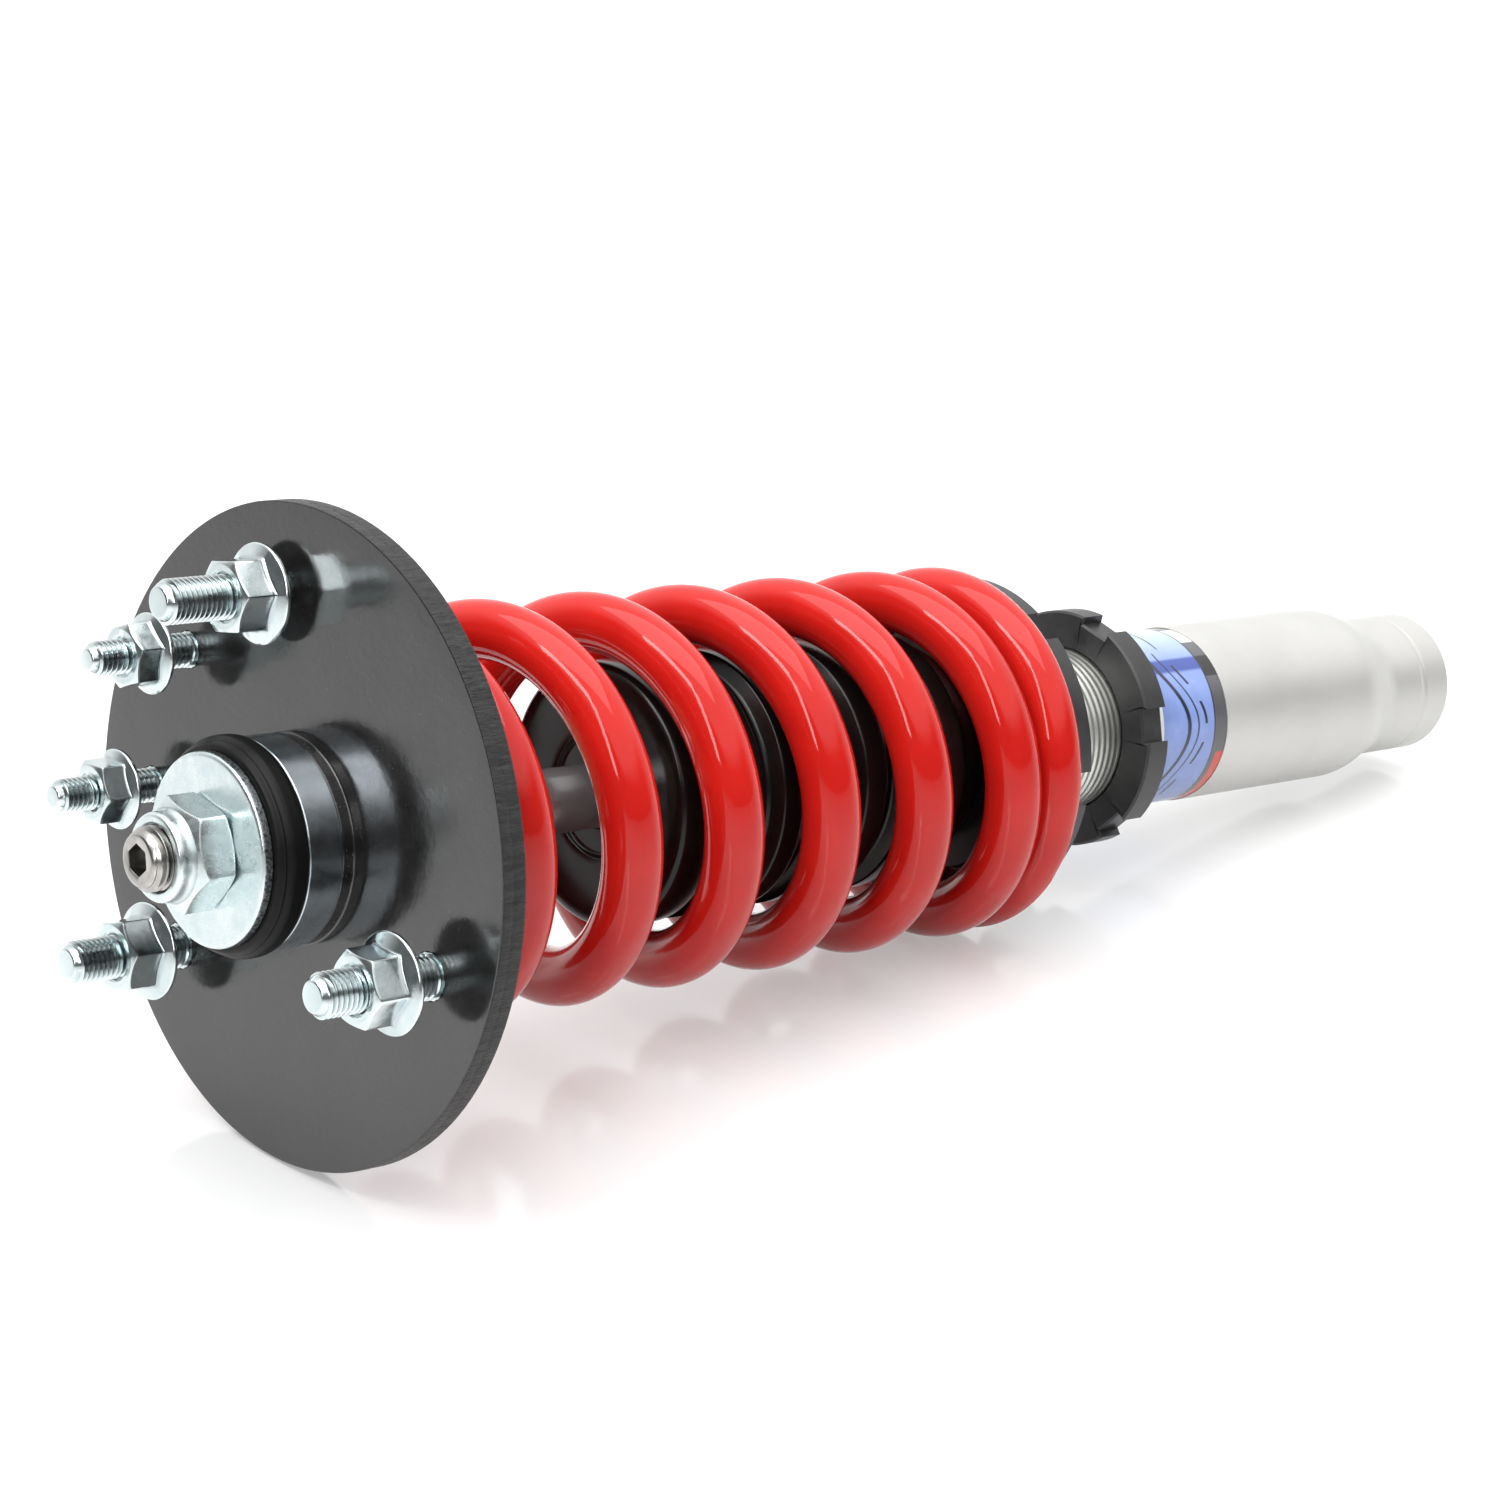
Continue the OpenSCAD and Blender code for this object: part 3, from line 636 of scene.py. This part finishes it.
def make_rod_nut(low, high, spin):
    """The rod's nut: a chamfered hexagon with a smooth rounded locking collar."""
    apothem, hex_h, collar_r = 11.0, 8.8, 9.6
    base, top = low.z, high.z
    bore_r = 7.0
    shoulder = base + hex_h
    turn = hex_angles()
    side = hex_radius(turn, apothem)
    low_cone = np.maximum((side - apothem * 0.985) * math.tan(math.radians(25)), 0)
    high_cone = np.maximum((side - apothem * 0.955) * math.tan(math.radians(32)), 0)
    rows = [around(bore_r, base, turn), around(apothem * 0.97, base, turn),
            around(side - 0.1, base + low_cone + 0.05, turn), around(side, base + low_cone + 0.25, turn),
            around(side, base + low_cone + 0.8, turn), around(side, shoulder - high_cone - 0.9, turn),
            around(side, shoulder - high_cone - 0.3, turn),
            around(side - 0.08, shoulder - high_cone - 0.06, turn),
            around(side - 0.3, shoulder - np.maximum(high_cone - 0.12, 0), turn),
            around(apothem * 0.94, shoulder + 0.02, turn)]
    collar = soften([(apothem * 0.92, shoulder + 0.06), (collar_r, shoulder + 1.1, 1.0), (collar_r, top, 1.6),
                     (bore_r + 0.5, top, 0.3), (bore_r + 0.35, top - 0.9), (bore_r, top - 1.2)], 6)
    rows += [around(r, z, turn) for r, z in collar]
    place = upright(0, 0, spin)
    return Skin().grid(rows, close_rows=True).finish("rod_nut_plated", sharp=28, place=place)


def make_piston_rod():
    """The rod: turned tail, ground shaft, shoulder, threaded end with a chamfer and a hexagon socket."""
    low, high = box_mm("piston_rod")
    shoulder = box_mm("lower_washer")[0].z
    stop_low = box_mm("rebound_stop")[0].z
    tail_r = 5.0
    thread_r, root_r = ROD_THREAD_R, ROD_THREAD_R - THREAD_DEPTH * ROD_PITCH
    socket_r = 6 / math.sqrt(3)
    top, chamfer = high.z, 1.7
    count = 96
    turn = angles(count)
    skin = Skin()
    shaft = soften([(0.001, low.z), (tail_r - 0.2, low.z, 0.6), (tail_r, stop_low), (ROD_R, stop_low, 0.3),
                    (ROD_R, shoulder, 0.4), (thread_r - 0.4, shoulder), (root_r, shoulder + 1)], 3)
    skin.grid([around(r, z, turn) for r, z in shaft])
    limit_z = [shoulder + 1, shoulder + 2, top - chamfer - 0.2, top - chamfer + 0.9]
    limit_r = [root_r, thread_r, thread_r, root_r]
    skin.helix(thread_profile(thread_r, ROD_PITCH), ROD_PITCH, shoulder + 1, top - chamfer + 0.9,
               lambda z: np.interp(z, limit_z, limit_r), count)
    socket = hex_radius(turn, socket_r * math.cos(math.pi / 6), 1.0)
    tip = [around(root_r, top - chamfer + 0.9, turn), around(root_r - 0.45, top - 0.22, turn),
           around(root_r - 0.75, top - 0.04, turn), around(root_r - 1.1, top, turn),
           around(socket + 0.35, top, turn), around(socket + 0.15, top - 0.08, turn),
           around(socket, top - 0.35, turn), around(socket, top - 6, turn)]
    skin.grid(tip).disc(tip[-1], top - 7.2)
    return skin.finish("piston_rod_ground", sharp=32)


def ramp(x, width):
    """A line of slope 1 that starts at x = 0, rounded over a width each way."""
    return np.where(x <= -width, 0, np.where(x >= width, x, (x + width) ** 2 / (4 * width)))


def end_rise(n):
    """How far the wire's centre is inside the nearer end plane, n turns from that end's tip."""
    closed = (SPRING_PITCH - 2 * WIRE_R - TURN_GAP) / (SPRING_PITCH - CLOSED_SLOPE)
    bend = ramp(n - NEST_TURNS, NEST_BLEND) - ramp(n - NEST_TURNS - closed, OPEN_BLEND)
    return float(SPRING_PITCH * n - TIP_DROP - (SPRING_PITCH - CLOSED_SLOPE) * bend)


def ground_section(centre, section):
    """The wire's section, as offsets from its centre's radius and as heights, ground flat at height 0."""
    start = math.asin(min(max(-centre / WIRE_R, 0), 1))
    upper = section < math.pi
    bent = np.where(upper, start + section * (math.pi - 2 * start) / math.pi, section)
    across = WIRE_R * np.cos(bent) * np.where(upper, 1, math.cos(start))
    return across, np.maximum(centre + WIRE_R * np.sin(bent), 0) * np.where(upper | (centre > 0), 1, 0)


def make_spring():
    """A right-hand coil with closed ends that are ground flat, leaning a little towards the floor."""
    low, high = box_mm("coil_spring")
    height = high.z - low.z
    first_rise = 2 * WIRE_R + TURN_GAP - TIP_DROP
    turns = 2 + (height - 2 * first_rise) / SPRING_PITCH
    low_mid_r = high.x - WIRE_R - SPRING_TAPER
    down = -Vector((UP.x, UP.y, 0)).normalized()
    count, sides = round(turns * 110), 36
    section = 2 * math.pi * (np.arange(sides) + 0.5) / sides
    rows = []
    for i in range(count + 1):
        n = turns * i / count
        lower = n < turns / 2
        rise = end_rise(n if lower else turns - n)
        across, inside = ground_section(rise, section if lower else 2 * math.pi - section)
        z = inside if lower else height - inside
        turn = math.radians(SPRING_TIP) + 2 * math.pi * n
        r = low_mid_r + SPRING_TAPER * i / count + across
        lean = SPRING_LEAN * (0.5 - z / height)
        x, y = r * math.cos(turn) + lean * down.x, r * math.sin(turn) + lean * down.y
        rows.append(np.stack([x, y, low.z + z], 1))
    skin = Skin().grid(rows)
    for row in (rows[0], rows[-1]):
        centre = row.mean(0)
        inner = centre + (row - centre) * 0.9
        skin.grid([row, inner]).disc(inner)
    return skin.finish("coil_spring_red", sharp=45, weighted=False)


def make_boot():
    """The bellows: a domed top with a shallow well and a thin lip round the rod, folds and a cuff."""
    low, high = box_mm("dust_boot")
    body_r = box_mm("threaded_body")[1].x
    out_r, top, bottom = high.x, high.z, low.z
    folds, depth, wall, hole_r, well_r = 7, 3.6, 1.2, ROD_R + 0.4, 14.5
    fold_h = (top - 6 - (bottom + 10)) / folds
    outside = []
    for i in range(folds):
        z = top - 6 - i * fold_h
        outside += [(out_r, z, 0.5), (out_r, z - 0.50 * fold_h, 1.3),
                    (out_r - depth, z - 0.66 * fold_h, 1.0), (out_r - depth, z - 0.84 * fold_h, 1.0)]
    inside = [(r - wall, z, s) for r, z, s in reversed(outside)]
    outline = [(hole_r, top - 3.4), (hole_r, top - 1.8, 0.4), (well_r - 0.6, top - 2.2, 0.8),
               (well_r, top - 0.8, 0.5), (well_r + 1.2, top - 0.6, 0.6), (out_r - 3.0, top - 0.1, 2.0),
               (out_r, top - 1.2, 1.6)]
    cuff_r = body_r + 0.02
    outline += outside + [(out_r - depth, bottom + 9, 1.2), (body_r + 2, bottom + 5, 1.0),
                          (body_r + 2, bottom, 0.5), (cuff_r, bottom, 0.2), (cuff_r, bottom + 6, 0.5),
                          (out_r - depth - wall, bottom + 11, 1.0)]
    outline += inside + [(out_r - wall, top - 2.6, 0.8), (well_r, top - 3.4, 0.8)]
    return turned(outline, 160, 4).finish("dust_boot_moulded", sharp=60, weighted=False)


def slotted(rim_r, root_r, width, first, inset):
    """One loop round a ring with six wrench slots, and the bearing at which each point meets the bore."""
    points, inner = [], []
    half = width / 2 + inset
    rim, root = rim_r - inset, root_r - inset
    rim_angle = math.asin(half / rim)
    meet = math.atan2(width / 2, root_r)
    for k in range(6):
        start = math.radians(first) + k * math.pi / 3
        for y in np.linspace(-half, half, 7):
            points.append((start, root, y))
            inner.append(start + meet * y / half)
        for share in np.linspace(0, 1, 25):
            bearing = rim_angle + share * (math.pi / 3 - 2 * rim_angle)
            points.append((start + bearing, rim, 0))
            inner.append(start + meet + share * (math.pi / 3 - 2 * meet))
    xy = [(x * math.cos(a) - y * math.sin(a), x * math.sin(a) + y * math.cos(a)) for a, x, y in points]
    return np.array(xy), np.array(inner)


def make_slotted_ring(name, low, high, rim_r, slot_depth, first, bore_r, hub=None):
    """A ring nut with six wrench slots, chamfered all round. hub is (radius, height) of a raised collar."""
    width, chamfer, lead_in = 8.5, 0.55, 0.8
    wide, meet = slotted(rim_r, rim_r - slot_depth, width, first, 0)
    narrow, _ = slotted(rim_r, rim_r - slot_depth, width, first, chamfer)

    def flat(loop, z):
        return np.column_stack([loop, np.full(len(loop), z)])

    rows = [flat(narrow, low), flat(wide, low + chamfer), flat(wide, high - chamfer), flat(narrow, high)]
    if hub:
        hub_r, hub_top = hub
        collar = soften([(hub_r + 0.4, high), (hub_r, high + 0.4), (hub_r, hub_top, 1.2),
                         (bore_r, hub_top, 0.6)], 3)
        rows += [around(r, z, meet) for r, z in collar]
    else:
        rows += [around(bore_r + lead_in, high, meet), around(bore_r, high - lead_in, meet)]
    rows += [around(bore_r, low + lead_in, meet), around(bore_r + lead_in, low, meet)]
    return Skin().grid(rows, close_rows=True).finish(name, sharp=25)


def make_body():
    """The threaded body: a closed tube with a rolled thread all along it."""
    low, high = box_mm("threaded_body")
    crest_r, bore_r = high.x, high.x - BODY_WALL
    depth = 0.16
    root_r = crest_r - depth
    count = 144
    turn = angles(count)
    skin = Skin()
    bottom = soften([(0.001, low.z), (root_r - 0.3, low.z, 0.5), (root_r, low.z + 1)], 3)
    skin.grid([around(r, z, turn) for r, z in bottom])
    limit_z = [low.z + 1, low.z + 2, high.z - 2, high.z - 1]
    limit_r = [root_r, crest_r, crest_r, root_r]
    profile = [(t, crest_r - (crest_r - root_r) * (0.5 + 0.5 * math.cos(t * math.tau)))
               for t in np.arange(0, 1, 0.125)]
    skin.helix(profile, BODY_PITCH, low.z + 1, high.z - 1, lambda z: np.interp(z, limit_z, limit_r), count)
    mouth = [(root_r, high.z - 1), (root_r - 0.3, high.z), (bore_r, high.z), (bore_r, low.z + 3),
             (0.001, low.z + 3)]
    skin.grid([around(r, z, turn) for r, z in mouth])
    return skin.finish("threaded_body_plated", sharp=40, weighted=False)


def make_sleeve():
    """The lower sleeve: a bevelled mouth, the label's shallow recess, a soft taper and a beaded spigot."""
    low, high = box_mm("lower_sleeve")
    label_low = box_mm("sleeve_label")[0]
    out_r, top, bottom = high.x, high.z, low.z
    recess_r = out_r - RECESS
    bore_r = box_mm("threaded_body")[1].x + 0.05
    spigot_r, plug_r = 18.5, 15.0
    spigot_top = bottom + 24.5
    outline = [(bore_r, top, 0.4), (recess_r, top, 0.5),
               (recess_r, label_low.z, 0.1), (out_r, label_low.z, 0.15),
               (out_r, spigot_top + 12, 4.0), (spigot_r, spigot_top, 3.0),
               (spigot_r, bottom + 11.5, 0.4), (spigot_r - 0.2, bottom + 10.9, 0.4),
               (spigot_r - 0.2, bottom + 9.9, 0.4), (spigot_r, bottom + 9.3, 0.4),
               (spigot_r, bottom, 0.9), (plug_r, bottom, 0.3),
               (plug_r, spigot_top + 14), (bore_r, spigot_top + 14)]
    return turned(outline, 256, 8).finish("lower_sleeve_coated", sharp=35)


def make_label():
    """The label's film, and the heights of its two ends in metres."""
    low, high = box_mm("sleeve_label")
    outer, inner = high.x, box_mm("lower_sleeve")[1].x - RECESS
    outline = [(inner, low.z), (outer, low.z, 0.05), (outer, high.z, 0.05), (inner, high.z)]
    return turned(outline, 256, 2).finish("sleeve_label_printed", sharp=40), low.z / 1000, high.z / 1000


def make_housing():
    """The bush's housing: a plated ring that stands in the plate's bore."""
    low, high = box_mm("bush_housing")
    collar_z = box_mm("top_plate")[1].z
    outline = [(NECK_R, low.z), (PLATE_HOLE_R, low.z, 0.2), (PLATE_HOLE_R, collar_z), (high.x, collar_z, 0.5),
               (high.x, high.z, 0.45), (NECK_R, high.z, 0.3)]
    return turned(outline, 256).finish("bush_housing_plated", sharp=35)


def make_bush():
    """The upper bush: rounded where it bulges between housing and washer, with a groove under its lip."""
    low, high = box_mm("upper_bush")
    seat_z = box_mm("bush_housing")[1].z
    r, lip_z, bore_r = high.x, high.z, 10
    outline = [(bore_r, low.z), (NECK_R, low.z), (NECK_R, seat_z), (r - 0.9, seat_z, 0.3),
               (r, seat_z + 1.3, 1.0), (r, lip_z - 3.0, 0.9), (r - 0.9, lip_z - 1.9, 0.3),
               (r - 0.75, lip_z - 1.6, 0.2), (r - 1.0, lip_z - 1.3, 0.2), (r - 1.7, lip_z, 0.8),
               (bore_r, lip_z)]
    return turned(outline, 256).finish("upper_bush_moulded", sharp=50)


def make_washer():
    """The top washer, with a rounded upper edge."""
    low, high = box_mm("top_washer")
    bore_r = 7.1
    outline = [(bore_r, low.z), (high.x, low.z, 0.4), (high.x, high.z - 0.5, 0.5),
               (high.x - 0.6, high.z, 0.5), (high.x - 1.8, high.z), (8.2, high.z), (bore_r, high.z)]
    return turned(outline, 256, 6).finish("top_washer_plated", sharp=35)


def make_seat():
    """The spring's upper seat: a flat ring with a hub that centres the spring."""
    low, high = box_mm("spring_seat_upper")
    seat_z, bore_r, hub_r = low.z + 8, 25.0, high.x - 12.7
    outline = [(bore_r, low.z, 0.5), (high.x - 14.6, low.z, 1.2), (hub_r, low.z + 3, 1.0),
               (hub_r, seat_z, 0.6), (high.x, seat_z, 0.8), (high.x, high.z, 0.5), (bore_r, high.z)]
    return turned(outline).finish("spring_seat_moulded", sharp=50)


def make_slip_ring():
    low, high = box_mm("slip_ring")
    bore_r = high.x - 10.3
    outline = [(bore_r, low.z, 0.2), (high.x, low.z, 0.3), (high.x, high.z, 0.3), (bore_r, high.z, 0.2)]
    return turned(outline).finish("slip_ring_turned", sharp=35)


def build_pieces():
    zinc = zinc_plate("zinc_plate", 0.11, 0.22)
    satin_zinc = zinc_plate("satin_zinc_plate", 0.24, 0.34, 1.08)
    coat, edge = plate_coat(), rim_coat()
    red = red_powder_coat()
    black_rubber = rubber("black_rubber", 0.006, 0.30, 0.44, 1.25)
    boot_rubber = rubber("boot_rubber", 0.005, 0.18, 0.26, 1.38)
    black_ring = ring_finish()
    chrome = turned_metal("rod_steel", 0.62, 0.72, 0.08, 0.14, metallic=0.85)
    steel = turned_metal("bare_steel", 0.36, 0.50, 0.16, 0.28, tint=(1.0, 0.97, 0.93))
    thread = turned_metal("silver_thread", 0.60, 0.72, 0.36, 0.48, 900, (1.0, 1.01, 0.95))
    silver = silver_coat()
    iron = sintered("sintered_iron", (0.22, 0.21, 0.20), (0.34, 0.33, 0.32), 0.8)
    bronze = sintered("bronze_liner", (0.42, 0.29, 0.12), (0.58, 0.42, 0.20), 1.0)
    ptfe = sintered("ptfe_band", (0.10, 0.07, 0.05), (0.16, 0.12, 0.09), 0.0)
    foam = bump_foam()

    make_plate(coat, edge)
    for node, across, r, pitch in (("flange_nuts_large", BIG_ACROSS, BIG_THREAD_R, BIG_PITCH),
                                   ("flange_nuts_small", SMALL_ACROSS, SMALL_THREAD_R, SMALL_PITCH)):
        studs_node = node.replace("flange_nuts", "mount_studs")
        nuts, studs = [], []
        for nut_box, stud_box, spin in zip(solids(node), solids(studs_node), NUT_SPINS[node]):
            nuts.append(make_flange_nut("nut", *nut_box, across, r, math.radians(spin)))
            studs.append(make_stud("stud", *stud_box, r, pitch))
        piece(join(nuts, node + "_plated"), node, zinc)
        piece(join(studs, studs_node + "_plated"), studs_node, zinc)

    piece(make_housing(), "bush_housing", housing_plate())
    piece(make_bush(), "upper_bush", black_rubber)
    washer = piece(make_washer(), "top_washer", satin_zinc, [washer_side_painted_dark()])
    # The washer's side and underside take the finish that is darkened as a painted reflection.
    refinish(washer, lambda face: face.normal.z < 0.35)
    rod_nut = make_rod_nut(*box_mm("rod_nut"), math.radians(NUT_SPINS["rod_nut"][0]))
    piece(rod_nut, "rod_nut", satin_zinc)
    rod = piece(make_piston_rod(), "piston_rod", chrome, [steel])
    bare_from = box_mm("lower_washer")[0].z / 1000
    refinish(rod, lambda face: face.center.z > bare_from)
    piece(make_seat(), "spring_seat_upper", black_rubber)
    spring = piece(make_spring(), "coil_spring", red)
    boot = piece(make_boot(), "dust_boot", boot_rubber)
    piece(make_slip_ring(), "slip_ring", steel)

    bore_r = box_mm("threaded_body")[1].x - 0.1
    low, high = box_mm("spring_perch")
    ring_top = box_mm("slip_ring")[0].z
    perch = make_slotted_ring("spring_perch_anodised", low.z, ring_top, high.x, 5, PERCH_SLOT_START, bore_r,
                              (30.2, high.z))
    piece(perch, "spring_perch", black_ring)
    low, high = box_mm("lock_ring")
    lock = make_slotted_ring("lock_ring_anodised", low.z, high.z, high.x, 2.2, LOCK_SLOT_START, bore_r)
    piece(lock, "lock_ring", black_ring)

    piece(make_body(), "threaded_body", thread)
    piece(make_sleeve(), "lower_sleeve", silver)
    label, label_low, label_high = make_label()
    piece(label, "sleeve_label", printed_label(label_low, label_high))

    kept = {"lower_bush": black_rubber, "bush_sleeve": steel, "lower_washer": zinc, "body_cap": steel,
            "rod_seal": black_rubber, "rod_guide": iron, "guide_bush": bronze, "guide_o_ring": black_rubber,
            "inner_cylinder": steel, "base_valve": iron, "bump_stop": foam, "rebound_stop": steel,
            "compression_shims": steel, "rebound_shims": steel, "piston": iron, "piston_band": ptfe,
            "piston_nut": zinc, "end_plug": silver}
    for node, finish in kept.items():
        frame["nodes"][node].data.materials.clear()
        frame["nodes"][node].data.materials.append(finish)

    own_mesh(spring)
    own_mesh(boot)


# ---------------------------------------------------------------- stage, light and camera
def make_floor():
    """A wide white floor that is seen from its upper side only, with a soft sheen. It glows faintly, though
    not onto the coilover, so that its shadows stay light."""
    s = Shader("studio_floor")
    out = s.tree.nodes["Material Output"]
    bounce = s.make("LightPath").outputs["Is Diffuse Ray"]
    s.surface(Base_Color=s.cloudy(6, 3, (0.635, 0.635, 0.635), (0.655, 0.655, 0.655)),
              Emission_Color=(1, 1, 1),
              Emission_Strength=s.math("SUBTRACT", FLOOR_GLOW, s.math("MULTIPLY", bounce, FLOOR_GLOW)),
              Roughness=s.cloudy(40, 3, 0.09, 0.14), IOR=1.75)
    clear = s.make("BsdfTransparent")
    geometry = s.make("NewGeometry")
    mix = s.make("MixShader", i0=geometry.outputs["Backfacing"], i1=s.bsdf.outputs[0], i2=clear.outputs[0])
    s.tree.links.new(mix.outputs[0], out.inputs["Surface"])
    skin = Skin()
    turn = angles(128)
    skin.grid([around(r, 0, turn) for r in (500, 1500, 4000, 9000)]).disc(around(500, 0, turn))
    floor = skin.finish("floor", weighted=False)
    floor.data.materials.append(s.material)
    tilt = UP.to_track_quat("Z", "Y").to_matrix().to_4x4()
    floor.matrix_world = Matrix.Translation(UP * FLOOR) @ tilt
    if (floor.matrix_world.to_3x3() @ floor.data.polygons[0].normal).dot(UP) < 0:
        floor.data.flip_normals()


def add_panel(name, ends, target, width, power):
    """A soft rectangular light, long enough to reach from one of its two ends to the other."""
    start, end = ends
    lamp = bpy.data.lights.new(name, "AREA")
    lamp.shape, lamp.size, lamp.size_y = "RECTANGLE", (end - start).length, width
    lamp.energy = power
    place = (start + end) / 2
    along = (end - start).normalized()
    across = (place - target).cross(along).normalized()
    made = bpy.data.objects.new(name, lamp)
    made.matrix_world = Matrix.Translation(place) @ \
        Matrix((along, across, along.cross(across))).transposed().to_4x4()
    scene.collection.objects.link(made)


def make_camera():
    camera = bpy.data.cameras.new("camera")
    camera.lens, camera.sensor_width = CAMERA_LENS, 36
    camera.clip_start, camera.clip_end = 0.01, 60
    made = bpy.data.objects.new("camera", camera)
    right, back = Vector(CAMERA_RIGHT).normalized(), -Vector(CAMERA_FORWARD).normalized()
    up = back.cross(right).normalized()
    made.matrix_world = Matrix.Translation(CAMERA_PLACE) @ \
        Matrix((right, up, back)).transposed().to_4x4()
    scene.collection.objects.link(made)
    scene.camera = made
    return made


def make_world(level, side):
    """A soft white sky that reaches lower on the right, over a band that is dark round the camera."""
    world = bpy.data.worlds.new("studio")
    world.use_nodes = True
    tree = world.node_tree
    background = tree.nodes["Background"]

    def add(kind, settings, *values):
        node = tree.nodes.new("ShaderNode" + kind)
        for key, value in settings.items():
            setattr(node, key, value)
        for socket, value in zip(node.inputs, values):
            if isinstance(value, bpy.types.NodeSocket):
                tree.links.new(value, socket)
            elif value is not None:
                socket.default_value = value
        return node

    direction = add("TexCoord", {}).outputs["Generated"]

    def along(axis):
        return add("VectorMath", {"operation": "DOT_PRODUCT"}, direction, tuple(axis)).outputs["Value"]

    def between(value, low, high, first, last):
        made = add("MapRange", {"interpolation_type": "SMOOTHSTEP"}, value, low, high, first, last)
        return made.outputs[0]

    def blend(share, first, last):
        made = add("Mix", {"data_type": "FLOAT"}, share, None, first, last)
        return made.outputs[0]

    height, front, right = along(UP), along(level), along(side)

    facing = between(front, -0.5, 0.1, WALL_LEVEL, ROOM_LEVEL)
    lowered = between(right, -0.15, 0.2, 0.0, RIGHT_SHIFT)
    raised = add("Math", {"operation": "ADD"}, height, lowered).outputs[0]
    sky = between(raised, math.sin(math.radians(SKY_START)), math.sin(math.radians(SKY_FULL)), 0.0, 1.0)
    seen = add("LightPath", {}).outputs["Is Camera Ray"]
    shown = blend(seen, blend(sky, facing, SKY_LEVEL), SEEN_LEVEL)
    tree.links.new(shown, background.inputs["Strength"])
    background.inputs["Color"].default_value = (1, 1, 1, 1)
    scene.world = world


def light_scene(camera):
    toward = camera.matrix_world.to_3x3() @ Vector((0, 0, 1))
    level = (toward - UP * toward.dot(UP)).normalized()
    side = UP.cross(level)
    make_world(level, side)
    middle = Vector((0, 0, -0.14))     # of the coilover, in metres

    def at(elevation, bearing):
        """The point this many degrees over the floor and round from the camera's side."""
        up, turn = math.radians(elevation), math.radians(bearing)
        flat = level * math.cos(turn) + side * math.sin(turn)
        return middle + (flat * math.cos(up) + UP * math.sin(up)) * LIGHT_DISTANCE

    add_panel("overhead_softbox", (at(55, -90), at(55, 90)), middle, 0.8, OVERHEAD_POWER)
    add_panel("left_strip", (at(50, -66), at(51, -12)), middle, 0.18, LEFT_POWER)
    add_panel("front_strip", (at(49, -12), at(14, -16)), middle, 0.14, FRONT_POWER)


camera = make_camera()
build_pieces()
make_floor()
light_scene(camera)
scene.view_settings.view_transform = "Standard"

bpy.context.view_layer.update()
